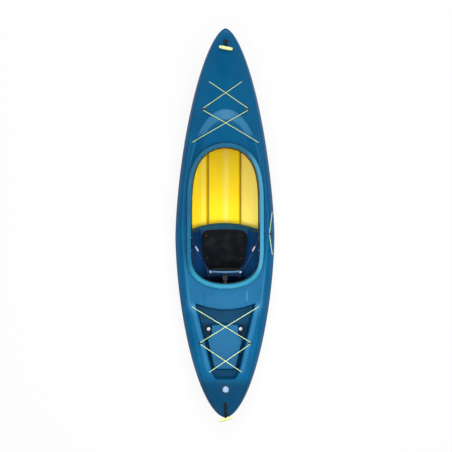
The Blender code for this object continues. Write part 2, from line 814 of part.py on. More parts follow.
def make_seat(hinge_holes):
    """Moulded bucket: floor, raised sides, tabs bolted behind the skirt, rolled front lip, hinge lugs."""
    tab_back = TAB_Y - TAB_LENGTH / 2
    tab_front = TAB_Y + TAB_LENGTH / 2
    rows = [
        seat_row(SEAT_BACK_Y, 0.090, 1, False, 0),
        seat_row(SEAT_BACK_Y + 0.016, 0.075, 1, False, 0),
        seat_row(SEAT_BACK_Y + 0.042, 0.010, 1, False, 0),
        seat_row(SEAT_BACK_Y + 0.060, 0.0, 1, False, 0),
        seat_row(-0.32, 0, 1, False, 0),
        seat_row(tab_back, 0, 1, True, 0),
        seat_row(TAB_Y, 0, 1, True, 0),
        seat_row(tab_front, 0, 1, True, 0),
        seat_row(PAD_FRONT_Y + 0.002, 0, 0.9, False, 0.3 * SEAT_ARC),
        seat_row(SEAT_FRONT_Y - 0.024, 0.004, 0.55, False, SEAT_ARC),
        seat_row(SEAT_FRONT_Y - 0.006, 0.0, 0.35, False, SEAT_ARC),
        seat_row(SEAT_FRONT_Y, -0.028, 0.25, False, SEAT_ARC),
    ]
    seat = place("seat_pan", sheet("seat_pan", rows), NAVY)
    thicken(seat, SEAT_WALL)
    for side in (-1, 1):
        outline = [(-0.013, -0.002), (0.013, -0.002)] + arc((0, HINGE_Z - SEAT_Z), LUG_R, 0, 180, 6)
        sections = []
        for x in (-LUG_THICK / 2, LUG_THICK / 2):
            sections.append([(side * LUG_X + x, HINGE_Y + y, SEAT_Z + z) for y, z in outline])
        name = f"seat_lug_{side}"
        combine(seat, tool(name, loft(name, sections)), "UNION")
    drill(seat, "seat_holes", hinge_holes, sides=16)
    return seat


def crown_pad(name, half, length, thick, rows, columns, floor, dimples, surface, parent=None):
    """Cushion on a sheet: z = floor + thick (rim + (1 - rim) crown), drawn in at sides and at its studs."""
    top, base = [], []
    for row in range(rows + 1):
        along = row / rows
        high, low = [], []
        for column in range(columns + 1):
            across = 2 * column / columns - 1
            x = across * half(along)
            y = length(along, across)
            crown = math.sqrt(max(0.0, (1 - across ** 4) * (1 - (2 * along - 1) ** 4)))
            pull = min((math.hypot(x - sx, y - sy) / 0.035 for sx, sy in dimples), default=1.0)
            height = thick * (0.35 + 0.65 * crown) * mix(0.45, 1.0, smooth(pull))
            under = floor(x, y)
            low.append((x, y, under))
            high.append((x * (0.985 + 0.015 * (1 - crown)), y, under + height))
        top.append(high)
        base.append(low)
    shape = bmesh.new()
    upper = [[shape.verts.new(point) for point in line] for line in top]
    lower = [[shape.verts.new(point) for point in line] for line in base]
    for grid in (upper, lower):
        for line, following in zip(grid, grid[1:]):
            for side in range(columns):
                shape.faces.new((line[side], line[side + 1], following[side + 1], following[side]))
    rim = []
    for grid in (upper, lower):
        front, back = grid[0], grid[-1]
        right = [line[-1] for line in grid[1:-1]]
        left = [line[0] for line in grid[1:-1]]
        rim.append(front + right + back[::-1] + left[::-1])
    count = len(rim[0])
    for index in range(count):
        after = (index + 1) % count
        shape.faces.new((rim[0][index], rim[0][after], rim[1][after], rim[1][index]))
    bmesh.ops.recalc_face_normals(shape, faces=shape.faces)
    return place(name, mesh_of(name, shape, angle=60), surface, parent=parent)


def make_seat_cushion():
    """Fabric cushion in the bucket with four studs through it."""
    spots = {"front": (0.143, PAD_FRONT_Y - 0.046), "rear": (0.133, PAD_FRONT_Y - 0.223)}
    studs = {}
    for end, (x, y) in spots.items():
        studs[f"cushion_stud_{end}_port"] = (-x, y)
        studs[f"cushion_stud_{end}_starboard"] = (x, y)
    cushion = crown_pad(
        "seat_cushion",
        half=lambda along: cushion_half(PAD_FRONT_Y - PAD_LENGTH * along),
        length=lambda along, across: PAD_FRONT_Y - PAD_LENGTH * along - 0.010 * (1 - along) * across ** 2,
        thick=CUSHION_HEIGHT, rows=11, columns=12, floor=lambda x, y: seat_plane(y) + GAP,
        dimples=list(studs.values()), surface=CLOTH,
    )
    holes = [((x, y, seat_plane(y) + 0.02), (0, 0, 1), BOLT_R + RUNNING, 0.05) for x, y in studs.values()]
    drill(cushion, "cushion_holes", holes, sides=8)
    tree = tree_of(cushion)
    for name, (x, y) in studs.items():
        base = seat_plane(y) + SEAT_TILT * BOLT_R + GAP
        rim = max(top_at(tree, x + dx, y + dy) for dx, dy in arc((0, 0), STUD_R, 0, 315, 7)) + GAP
        profile = [(0, rim + 0.004), (STUD_R * 0.7, rim + 0.003), (STUD_R, rim)]
        profile += [(BOLT_R, rim), (BOLT_R, base), (0, base)]
        turned(name, profile, STEEL, FASTENER_STEPS, (x, y, 0))


def dumbbell(head, head_height, shank, length, nut, nut_height):
    """Profile of a bolt with its head at the top: head, shank of the gripped length, and nut."""
    return [
        (0, length / 2 + head_height), (head * 0.75, length / 2 + head_height),
        (head, length / 2 + head_height * 0.4), (head, length / 2), (shank, length / 2),
        (shank, -length / 2), (nut, -length / 2), (nut, -length / 2 - nut_height),
        (0, -length / 2 - nut_height),
    ]


def side_bolts():
    """Centre and outward direction of the four bolts through the coaming's skirt, fore and aft each side."""
    spots = []
    for end, y in (("aft", TAB_Y - BOLT_SPACING / 2), ("fore", TAB_Y + BOLT_SPACING / 2)):
        for name, side in (("port", -1), ("starboard", 1)):
            spots.append((f"seat_bolt_{end}_{name}", side, y, bolt_height(y), end == "fore"))
    return spots


def grip_of(y, strapped):
    """Inner and outer face of what a seat bolt clamps: strap end, skirt and seat tab."""
    inner = cockpit_half(y) - SKIRT_LEAN * (BOLT_DROP + WEBBING_WIDTH / 2) / SKIRT_DEPTH - 3 * GAP
    if strapped:
        inner -= WEBBING_THICK + 2 * GAP
    return inner, tab_half(y) + SEAT_WALL + GAP


def make_side_bolts():
    for name, side, y, height, strapped in side_bolts():
        inner, outer = grip_of(y, strapped)
        profile = dumbbell(BOLT_HEAD_R, BOLT_HEAD, BOLT_R, outer - inner, NUT_R, NUT)
        turned(
            name, profile, STEEL, FASTENER_STEPS, (side * (inner + outer) / 2, y, height),
            (0, -side * math.pi / 2, 0),
        )


def bolt_holes():
    """Holes for the seat bolts, for the skirt and for the seat's tabs alike."""
    return [
        ((side * (cockpit_half(y) + 0.003), y, height), (1, 0, 0), BOLT_R + RUNNING, 0.03)
        for name, side, y, height, strapped in side_bolts()
    ]


def rear_bolt():
    """Place of the bolt that holds the rear strap to the skirt."""
    point = Vector((0, COCKPIT_STERN_Y))
    return coaming_base(point, Vector((0, -1))) - BOLT_DROP


def back_face(x):
    """Local y of the backrest shell's rear face; its sides curve forward."""
    return BACK_CURVE * (x / BACK_TOP_HALF) ** 2 - BACK_THICK


def strap_line(x):
    """Local y of a strap's middle where it lies flat behind the shell, along the shell's tangent."""
    touch = SIDE_RIVET_X if x else 0.0
    slope = 2 * BACK_CURVE * touch / BACK_TOP_HALF ** 2
    return back_face(touch) + slope * (x - touch) - 3 * GAP - WEBBING_THICK / 2


def back_half(up):
    """Half width of the backrest at a height above its hinge: narrow between the lugs, rounded at the top."""
    share = clamp((up - BACK_NECK) / (BACK_HEIGHT - BACK_NECK))
    half = mix(LUG_X - LUG_THICK / 2 - 0.003, BACK_TOP_HALF, smooth(share * 1.6))
    corner = 0.030
    over = clamp((up - BACK_HEIGHT + corner) / corner)
    return half - corner * (1 - math.sqrt(1 - over ** 2)) * 0.8


def make_backrest(hinge):
    """Moulded backrest on a steel rod, its cushion, and the rod itself."""
    ups = [0.006, BACK_NECK, 0.050, 0.095, 0.140]
    ups += [BACK_HEIGHT - step for step in (0.030, 0.015, 0.005, 0.0)]
    rows = []
    for up in ups:
        half = back_half(up)
        spots = [half * share for share in (-1, -0.72, -0.36, 0, 0.36, 0.72, 1)]
        rows.append([(x, BACK_CURVE * (x / BACK_TOP_HALF) ** 2, up) for x in spots])
    frame = place("backrest_frame", sheet("backrest_frame", rows, flip=True), NAVY, parent=hinge)
    thicken(frame, BACK_THICK)
    for side in (-1, 1):
        name = f"backrest_knuckle_{side}"
        outline = arc((0, 0), KNUCKLE_R, 0, 337.5, 15)
        ends = (side * KNUCKLE_X - KNUCKLE_LENGTH / 2, side * KNUCKLE_X + KNUCKLE_LENGTH / 2)
        sections = [[(x, y, z) for y, z in outline] for x in ends]
        combine(frame, tool(name, loft(name, sections), parent=hinge), "UNION")
    rivets = {
        "strap_rivet_port": (-SIDE_RIVET_X, SIDE_STRAP_UP),
        "strap_rivet_starboard": (SIDE_RIVET_X, SIDE_STRAP_UP),
        "strap_rivet_rear": (0.0, REAR_STRAP_UP),
    }
    holes = [((x, 0, up), (0, 1, 0), BOLT_R + RUNNING, 0.04) for x, up in rivets.values()]
    holes.append(((0, 0, 0), (1, 0, 0), ROD_R + RUNNING, 3 * BACK_TOP_HALF))
    drill(frame, "backrest_holes", holes, parent=hinge, sides=12)
    cylinder = [(0, ROD_HALF), (ROD_R, ROD_HALF), (ROD_R, -ROD_HALF), (0, -ROD_HALF)]
    turned("backrest_rod", cylinder, STEEL, 16, (0, HINGE_Y, HINGE_Z), (0, math.pi / 2, 0))

    low, high = BACK_NECK + 0.008, BACK_HEIGHT - 0.006
    cushion = crown_pad(
        "backrest_cushion",
        half=lambda along: back_half(mix(low, high, along)) - BACK_MARGIN,
        length=lambda along, across: mix(low, high, along),
        thick=BACK_CUSHION, rows=9, columns=8,
        floor=lambda x, y: BACK_CURVE * (x / BACK_TOP_HALF) ** 2 + 3 * GAP,
        dimples=[], surface=CLOTH, parent=hinge,
    )
    swap = Matrix(((1, 0, 0, 0), (0, 0, 1, 0), (0, 1, 0, 0), (0, 0, 0, 1)))
    cushion.data.transform(swap)
    cushion.data.flip_normals()
    pocket = [((0, 0, REAR_STRAP_UP), (0, 1, 0), RIVET_R + 0.002, 0.014)]
    drill(cushion, "cushion_pocket", pocket, parent=hinge, sides=8)
    for name, (x, up) in rivets.items():
        front = BACK_CURVE * ((abs(x) + RIVET_R) / BACK_TOP_HALF) ** 2 + 2 * GAP
        rear = strap_line(abs(x)) - WEBBING_THICK / 2 - SLOPE_SHIM - GAP
        profile = dumbbell(RIVET_R, 0.002, BOLT_R, front - rear, RIVET_R, 0.002)
        spot = (x, (front + rear) / 2, up)
        turned(name, profile, STEEL, FASTENER_STEPS, spot, (-math.pi / 2, 0, 0), parent=hinge)


def webbing(name, path, wide):
    """Flat strap along a path; wide is the direction of its width."""
    side = wide * WEBBING_WIDTH / 2
    sections = []
    for index, point in enumerate(path):
        before = path[max(index - 1, 0)]
        after = path[min(index + 1, len(path) - 1)]
        into = (point - before).normalized() if index else (after - point).normalized()
        out = (after - point).normalized() if index < len(path) - 1 else into
        along = (into + out).normalized()
        face = along.cross(wide).normalized()
        stretch = 1 / max(0.5, along.dot(into))
        flat = face * WEBBING_THICK / 2 * stretch
        sections.append([point + flat + side, point + flat - side, point - flat - side, point - flat + side])
    return place(name, loft(name, sections), WEB)


def make_side_straps(hinge):
    """Webbing from the backrest's edges forward to the seat bolts, each with its adjuster."""
    grip_y = TAB_Y + BOLT_SPACING / 2
    for name, side in (("port", -1), ("starboard", 1)):
        flat = [(x, strap_line(x)) for x in (SIDE_RIVET_X - 0.015, BACK_TOP_HALF + 0.004)]
        round_edge = (BACK_TOP_HALF + 0.0095, BACK_CURVE + 0.004)
        path = [hinge @ Vector((side * x, y, SIDE_STRAP_UP)) for x, y in flat + [round_edge]]
        inner = grip_of(grip_y, True)[0] + WEBBING_THICK / 2 + GAP
        height = bolt_height(grip_y)
        path.append(Vector((side * (inner - 0.004), grip_y - 0.022, height)))
        path.append(Vector((side * inner, grip_y - 0.012, height)))
        path.append(Vector((side * inner, grip_y + 0.014, height)))
        strap = webbing(f"side_strap_{name}", path, Vector((0, 0, 1)))
        rivet = hinge @ Vector((side * SIDE_RIVET_X, strap_line(SIDE_RIVET_X), SIDE_STRAP_UP))
        holes = [((side * inner, grip_y, height), (1, 0, 0), BOLT_R + RUNNING, 0.012),
                 (rivet, hinge.to_3x3() @ Vector((0, 1, 0)), BOLT_R + RUNNING, 0.012)]
        drill(strap, f"strap_holes_{name}", holes, sides=8)
        start, end = path[2], path[3]
        middle = start.lerp(end, 0.72)
        turn = math.atan2(end.y - start.y, end.x - start.x)
        pitch = -math.asin((end.z - start.z) / (end - start).length)
        adjuster = place(f"strap_adjuster_{name}", box("adjuster", (0.044, 0.009, 0.034)), GREY,
                         middle, (0, pitch, turn))
        combine(adjuster, tool(f"adjuster_slot_{name}", box("slot", (0.06, 0.0032, 0.0262)),
                               middle, (0, pitch, turn)), "DIFFERENCE")


def make_rear_strap(hinge):
    """Strap from the middle of the backrest to the rear of the coaming, with its buckle."""
    wide = Vector((1, 0, 0))
    height = rear_bolt()
    flat = BOLT_HEAD_R + 0.0025
    skirt = COCKPIT_STERN_Y + SKIRT_LEAN * (BOLT_DROP + flat) / SKIRT_DEPTH + 4 * GAP + WEBBING_THICK / 2
    first = hinge @ Vector((0, strap_line(0), REAR_STRAP_UP + 0.012))
    second = hinge @ Vector((0, strap_line(0), REAR_STRAP_UP - 0.014))
    path = [first, second, second + Vector((0, -0.010, -0.010))]
    path += [Vector((0, skirt + 0.012, height - 0.020)), Vector((0, skirt, height - flat)),
             Vector((0, skirt, height + flat))]
    strap = webbing("rear_strap", path, wide)
    rivet = hinge @ Vector((0, strap_line(0), REAR_STRAP_UP))
    holes = [((0, skirt, height), (0, 1, 0), BOLT_R + RUNNING, 0.012),
             (rivet, hinge.to_3x3() @ Vector((0, 1, 0)), BOLT_R + RUNNING, 0.012)]
    drill(strap, "rear_strap_holes", holes, sides=8)
    start, end = path[2], path[3]
    tilt = math.atan2(end.z - start.z, start.y - end.y)
    middle = start.lerp(end, 0.5)
    buckle = place("rear_strap_buckle", box("buckle", (0.036, 0.030, 0.009)), BLACK, middle, (-tilt, 0, 0))
    slot = tool("buckle_slot", box("buckle_slot", (0.0262, 0.05, 0.0032)), middle, (-tilt, 0, 0))
    combine(buckle, slot, "DIFFERENCE")
    inner = skirt + WEBBING_THICK / 2 + GAP
    outer = COCKPIT_STERN_Y - WALL - GAP
    profile = dumbbell(BOLT_HEAD_R, BOLT_HEAD, BOLT_R, inner - outer, NUT_R, NUT)
    spot = (0, (inner + outer) / 2, height)
    turned("rear_strap_bolt", profile, STEEL, FASTENER_STEPS, spot, (-math.pi / 2, 0, 0))


def saddle_outline(half, inner, leg, corner, thick, plate_half):
    """Arched strap on two feet, in its own plane: x across and y up from what it is screwed to."""
    inside = arc((-(inner - corner), leg), corner, 180, 90, 3) + arc((inner - corner, leg), corner, 90, 0, 3)
    outside = arc((inner - corner, leg), corner + thick, 0, 90, 3)
    outside += arc((-(inner - corner), leg), corner + thick, 90, 180, 3)
    points = [(-half, 0), (-inner, 0)] + inside + [(inner, 0), (half, 0), (half, plate_half)]
    points += [(inner + thick, plate_half)] + outside + [(-inner - thick, plate_half), (-half, plate_half)]
    kept = []
    for point in points:
        if not kept or math.dist(point, kept[-1]) > 1e-5:
            kept.append(point)
    return kept


def seat_on(tree, x, y, half_x, half_y):
    """Place and turn of a fitting whose flat base lies on the deck: its tilt, and the lowest clear height."""
    rise_x = (top_at(tree, x + half_x, y) - top_at(tree, x - half_x, y)) / (2 * half_x)
    rise_y = (top_at(tree, x, y + half_y) - top_at(tree, x, y - half_y)) / (2 * half_y)
    heights = []
    for dx in (-half_x, -half_x / 2, 0, half_x / 2, half_x):
        for dy in (-half_y, 0, half_y):
            heights.append(top_at(tree, x + dx, y + dy) - rise_x * dx - rise_y * dy)
    normal = Vector((-rise_x, -rise_y, 1)).normalized()
    turn = Vector((0, 0, 1)).rotation_difference(normal)
    return Vector((x, y, max(heights) + GAP)), turn


def make_saddle(name, tree, x, y):
    """Nylon saddle that a deck cord runs through, fore and aft."""
    outline = saddle_outline(SADDLE_HALF, SADDLE_INNER, SADDLE_LEG, SADDLE_INNER, 0.003, SADDLE_PLATE)
    spot, turn = seat_on(tree, x, y, SADDLE_HALF, SADDLE_DEPTH / 2)
    upright = turn @ Matrix.Rotation(math.pi / 2, 3, "X").to_quaternion()
    plate(name, outline, SADDLE_DEPTH, BLACK, spot, upright.to_euler())
    return spot, turn


def taut(tree, start, end, extra=()):
    """Points where a cord pulled from start to end bears on the deck: the upper hull of the deck below it.

    Each station takes the highest deck within one station of it, so the straight runs clear the deck too.
    """
    steps, fine = 12, 4
    tops = []
    for step in range(steps * fine + 1):
        spot = start.lerp(end, step / (steps * fine))
        tops.append(top_at(tree, spot.x, spot.y, CORD_R) + CORD_R + 2 * GAP)
    samples = [(0.0, start.z)]
    for step in range(1, steps):
        samples.append((step / steps, max(tops[(step - 1) * fine:(step + 1) * fine + 1])))
    samples += list(extra) + [(1.0, end.z)]
    samples.sort()
    kept = []
    for sample in samples:
        while len(kept) > 1:
            (a, low), (b, middle) = kept[-2], kept[-1]
            if (middle - low) * (sample[0] - a) <= (sample[1] - low) * (b - a):
                kept.pop()
            else:
                break
        kept.append(sample)
    return [Vector((mix(start.x, end.x, a), mix(start.y, end.y, a), z)) for a, z in kept]


def height_on(path, x):
    """Height of a path where it crosses the middle plane."""
    for near, far in zip(path, path[1:]):
        if min(near.x, far.x) <= x <= max(near.x, far.x):
            return mix(near.z, far.z, (x - near.x) / (far.x - near.x))
    raise ValueError("the path doesn't cross the plane")


def cord_end(tree, x, y, towards):
    """Where a cord leaves the deck: over the hole, then down through it to a knot below."""
    away = (Vector((towards[0], towards[1])) - Vector((x, y))).normalized() * 0.007
    top = top_at(tree, x, y, 1.5 * CORD_R)
    round_knot = arc((x, y), KNOT_SWELL * CORD_R, 0, 315, 7)
    under = min(cast(tree, (*spot, 0), (0, 0, 1)).z for spot in round_knot) - GAP
    over = Vector((x + away.x, y + away.y, top + CORD_R + 3 * GAP))
    down = [Vector((x + away.x * 0.2, y + away.y * 0.2, top + CORD_R * 0.5))]
    down += [Vector((x, y, height)) for height in (under, under - 0.003, under - 0.008, under - 0.011)]
    return over, down, (1, 1, KNOT_SWELL, KNOT_SWELL, 0.6)


def cord_through(saddle_spot, turn, side, out):
    """Bend of a cord round a leg of its saddle, bow side first; out is how far it has turned away."""
    bow_side = [(-out, 0.0165), (-0.25 * out, 0.0100), (0.0007, 0.003)]
    offsets = bow_side + [(x, -y) for x, y in reversed(bow_side)]
    lift = CORD_R + 2 * GAP
    return [saddle_spot + turn @ Vector((side * x, y, lift)) for x, y in offsets]


def crossed_spots(corners, base_y, sign):
    """Corners of a crossed cord, the foremost first."""
    stations = [(share, base_y + sign * y) for share, y in corners]
    spots = [(share * half_breadth(y), y) for share, y in stations]
    return sorted(spots, key=lambda spot: -spot[1])


def make_crossed_cords(tree, end_name, corners, base_y, sign):
    """Two shock cords that cross twice: from a hole, over to a saddle on the other side, and back."""
    spots = crossed_spots(corners, base_y, sign)
    (first_x, first_y), (mid_x, mid_y), (last_x, last_y) = spots
    crossed = []
    for name, side in (("port", -1), ("starboard", 1)):
        saddle, turn = make_saddle(f"{end_name}_saddle_{name}", tree, side * mid_x, mid_y)
        bend = cord_through(saddle, turn, side, 0.013)
        first, first_down, swell = cord_end(tree, -side * first_x, first_y, (side * mid_x, mid_y))
        last, last_down, swell = cord_end(tree, -side * last_x, last_y, (side * mid_x, mid_y))
        legs = []
        for start, end, index in ((first, bend[0], 0), (bend[-1], last, 1)):
            extra = []
            if crossed:
                share = (0 - start.x) / (end.x - start.x)
                over = height_on(crossed[index], 0.0) + 2 * CORD_R + 2 * GAP
                width = 2.5 * CORD_R / abs(end.x - start.x)
                extra = [(share - width, over), (share + width, over)]
            legs.append(taut(tree, start, end, extra))
        path = first_down[::-1] + legs[0][:-1] + bend + legs[1][1:] + last_down
        middle = [1] * (len(path) - 2 * len(swell))
        tube(f"{end_name}_cord_{name}", path, CORD_R, YELLOW, list(swell[::-1]) + middle + list(swell))
        crossed = crossed or legs


def cord_holes():
    """Places of the holes for the cords' ends in the deck."""
    spots = []
    for side in (-1, 1):
        for corners, base, sign in ((BOW_CORD, COCKPIT_BOW_Y, 1), (STERN_CORD, COCKPIT_STERN_Y, -1)):
            first, middle, last = crossed_spots(corners, base, sign)
            spots += [(side * x, y) for x, y in (first, last)]
    first, middle, last = paddle_spots()
    return spots + [first, last]


def paddle_spots():
    """Both ends and the middle of the paddle cord, between the gunwale and the rim."""
    first, last = [(half_breadth(y) - inset, y) for inset, y in PADDLE_ENDS]
    share, y = PADDLE_MIDDLE
    middle = mix(half_breadth(y), cockpit_half(y) + COAMING_WIDTH, share)
    return [first, (middle, y), last]


def make_paddle_cord(tree):
    """Short shock cord on the starboard gunwale that holds a paddle, with a saddle at its middle."""
    (first_x, first_y), (mid_x, mid_y), (last_x, last_y) = paddle_spots()
    saddle, turn = make_saddle("paddle_saddle", tree, mid_x - 0.004, mid_y)
    bend = cord_through(saddle, turn, -1, 0.003)
    first, first_down, swell = cord_end(tree, first_x, first_y, (mid_x, mid_y))
    last, last_down, swell = cord_end(tree, last_x, last_y, (mid_x, mid_y))
    path = first_down[::-1] + taut(tree, first, bend[0])[:-1] + bend
    path += taut(tree, bend[-1], last)[1:] + last_down
    middle = [1] * (len(path) - 2 * len(swell))
    tube("paddle_cord", path, CORD_R, YELLOW, list(swell[::-1]) + middle + list(swell))


def belt(first, first_r, second, second_r):
    """Closed loop in the middle plane round two circles, given by their (y, z) centres."""
    along = Vector(second) - Vector(first)
    heading = math.degrees(math.atan2(along.y, along.x))
    lean = math.degrees(math.asin((first_r - second_r) / along.length))
    near = arc(first, first_r, heading + 90 - lean, heading + 270 + lean, 7)
    far = arc(second, second_r, heading - 90 + lean, heading + 90 - lean, 7)
    return [(0, y, z) for y, z in near + far]


def toggle_profile():
    """Half section of a grip, thick at both ends with a waist that the loop lies in."""
    half, slot = TOGGLE_LENGTH / 2, LOOP_R + 0.0015
    upper = [(0, half), (0.009, half), (TOGGLE_R, half - 0.004), (TOGGLE_R, half * 0.6),
             (TOGGLE_R * 0.88, half * 0.3), (TOGGLE_R * 0.88, slot), (TOGGLE_WAIST, slot)]
    return upper + [(radius, -height) for radius, height in reversed(upper)]


def make_handle(tree, end_name, y, toggle_y, hang):
    """Carrying handle: eye on the deck, cord loop through it, and a grip that lies aft of it."""
    spot, turn = seat_on(tree, 0, y, EYE_PLATE_HALF, EYE_DEPTH / 2)
    leg = EYE_INNER - EYE_CORNER
    outline = saddle_outline(EYE_PLATE_HALF, EYE_HALF, leg, EYE_CORNER, EYE_THICK, SADDLE_PLATE)
    upright = turn @ Matrix.Rotation(math.pi / 2, 3, "X").to_quaternion()
    plate(f"{end_name}_handle_eye", outline, EYE_DEPTH, BLACK, spot, upright.to_euler())
    bar = spot + turn @ Vector((0, 0, EYE_INNER + EYE_THICK / 2))
    round_bar = math.hypot(EYE_DEPTH / 2, EYE_THICK / 2) + RUNNING + LOOP_R
    round_grip = TOGGLE_WAIST + GAP + LOOP_R
    if hang:
        heights = []
        for step in range(1, 21):
            share = 0.1 + 0.9 * step / 20
            station = mix(bar.y, toggle_y, share)
            if station > STERN_Y + 0.0005:
                deck = top_at(tree, 0, station, 0.0004) + LOOP_R + 2 * GAP
                heights.append(round_grip + (deck - (1 - share) * (bar.z - round_bar)) / share)
        toggle_z = max(heights)
    else:
        toggle_z = max(top_at(tree, x, toggle_y, 0.006) for x in (0, 0.02, 0.05)) + TOGGLE_R + GAP
    loop = belt((0, 0), round_bar, (toggle_y - bar.y, toggle_z - bar.z), round_grip)
    swing = bpy.data.objects.new(f"{end_name}_handle_swing", None)
    swing.location = bar
    swing.parent = ORIGIN
    PARTS.objects.link(swing)
    tube(f"{end_name}_handle_loop", loop, LOOP_R, BLACK, ring=True, parent=swing)
    spot = (0, toggle_y - bar.y, toggle_z - bar.z)
    grip = toggle_profile()
    turned(f"{end_name}_toggle", grip, YELLOW_PLASTIC, 12, spot, (0, math.pi / 2, 0), parent=swing)
    print(end_name, "handle axis", [round(value, 5) for value in bar], "grip", round(toggle_z, 5))


def make_drain(tree):
    """Screw plug in the stern deck: flanged socket, sealing ring and plug with a finger bar."""
    y = STERN_Y + DRAIN_INSET
    spots = [(DRAIN_FLANGE_R * math.cos(a), DRAIN_FLANGE_R * math.sin(a)) for a in
             (math.pi * step / 8 for step in range(16))]
    base = max(top_at(tree, dx, y + dy) for dx, dy in spots) + GAP
    flange = [(DRAIN_BORE_R, DRAIN_FLANGE), (DRAIN_FLANGE_R - 0.003, DRAIN_FLANGE), (DRAIN_FLANGE_R, 0.001),
              (DRAIN_FLANGE_R, 0), (DRAIN_HOLE_R - RUNNING, 0), (DRAIN_HOLE_R - RUNNING, -DRAIN_NECK),
              (DRAIN_BORE_R, -DRAIN_NECK)]
    turned("drain_socket", flange, BLACK, 16, (0, y, base), closed=True)
    low = DRAIN_FLANGE + GAP
    stem = DRAIN_BORE_R - RUNNING
    wide = PLUG_R - 0.002
    ring = [(stem + RUNNING, low + GASKET), (wide, low + GASKET), (wide, low), (stem + RUNNING, low)]
    turned("drain_gasket", ring, RUBBER, 16, (0, y, base), closed=True)
    cap = low + GASKET + GAP
    top = cap + PLUG_HEIGHT
    dish = PLUG_R - 0.007
    profile = [(0, top - 0.007), (dish, top - 0.007), (dish + 0.002, top), (PLUG_R - 0.0015, top)]
    profile += [(PLUG_R, top - 0.002), (PLUG_R, cap), (stem, cap), (stem, 0.002 - PLUG_STEM)]
    profile += [(stem - 0.002, -PLUG_STEM), (0, -PLUG_STEM)]
    plug = turned("drain_plug", profile, PALE, 16, (0, y, base))
    bar = box("plug_bar", (2 * dish + 0.002, 0.007, 0.0075), (0, 0, top - 0.0045))
    combine(plug, tool("plug_bar", bar, (0, y, base)), "UNION")
    print("drain", round(y, 5), round(base, 5))


def make_scuppers(hull_tree, deck_tree):
    """Tubes that drain the tank well through the bottom, one each side."""
    wall = 0.005
    for name, side in (("port", -1), ("starboard", 1)):
        x = side * SCUPPER_X
        low, high = [], []
        for angle in range(0, 360, 30):
            for radius in (SCUPPER_R + 0.001, SCUPPER_R + wall):
                dx = radius * math.cos(math.radians(angle))
                dy = radius * math.sin(math.radians(angle))
                low.append(cast(hull_tree, (x + dx, SCUPPER_Y + dy, WELL_FLOOR_Z / 2), (0, 0, -1)).z)
                high.append(cast(deck_tree, (x + dx, SCUPPER_Y + dy, WELL_FLOOR_Z / 2), (0, 0, 1)).z)
        bottom, top = max(low) + GAP, min(high) - GAP
        outer = SCUPPER_R + wall
        ring = [(SCUPPER_R, top), (outer, top), (outer, bottom), (SCUPPER_R, bottom)]
        turned(f"scupper_tube_{name}", ring, BLUE, 20, (x, SCUPPER_Y, 0), closed=True)


def foam_block(name, half, ends, rows, floor_tree, roof_tree):
    """Foam between the bottom and what is above it, its top and bottom following both."""
    sections = []
    spread = abs(ends[1] - ends[0]) / rows / 2
    for step in range(rows + 1):
        y = mix(ends[0], ends[1], step / rows)
        lows, highs = [], []
        for x in (-half, -half / 2, 0.001, half / 2, half):
            for shift in (-spread, 0, spread):
                station = clamp(y + shift, min(ends), max(ends))
                bottom = cast(floor_tree, (x, station, -1.0), (0, 0, 1)).z
                inside = cast(floor_tree, (x, station, bottom + WALL / 2), (0, 0, 1)).z
                lows.append(inside)
                highs.append(cast(roof_tree, (x, station, inside + GAP), (0, 0, 1)).z)
        low, high = max(lows) + GAP, min(highs) - GAP
        sections.append([(-half, y, low), (half, y, low), (half, y, high), (-half, y, high)])
    return place(name, loft(name, sections), FOAM)


def wall_x(tree, side, y, z):
    """Inner and outer face of the hull's side at a point."""
    inner = cast(tree, (0, y, z), (side, 0, 0)).x
    outer = cast(tree, (side * BEAM, y, z), (-side, 0, 0)).x
    return abs(inner), abs(outer)


def brace_line(tree, side):
    """Two points inside the hull's side that the rail is fastened at, and the wall to be bolted through."""
    marks = []
    for end in (-1, 1):
        y = BRACE_Y + end * (RAIL_LENGTH / 2 - 0.020)
        spread = (-BOLT_HEAD_R, 0, BOLT_HEAD_R)
        near = [wall_x(tree, side, y + dy, BRACE_Z + dz) for dy in spread for dz in spread]
        inner = min(pair[0] for pair in near)
        outer = max(pair[1] for pair in near)
        marks.append((Vector((side * inner, y, BRACE_Z)), outer - inner))
    return marks


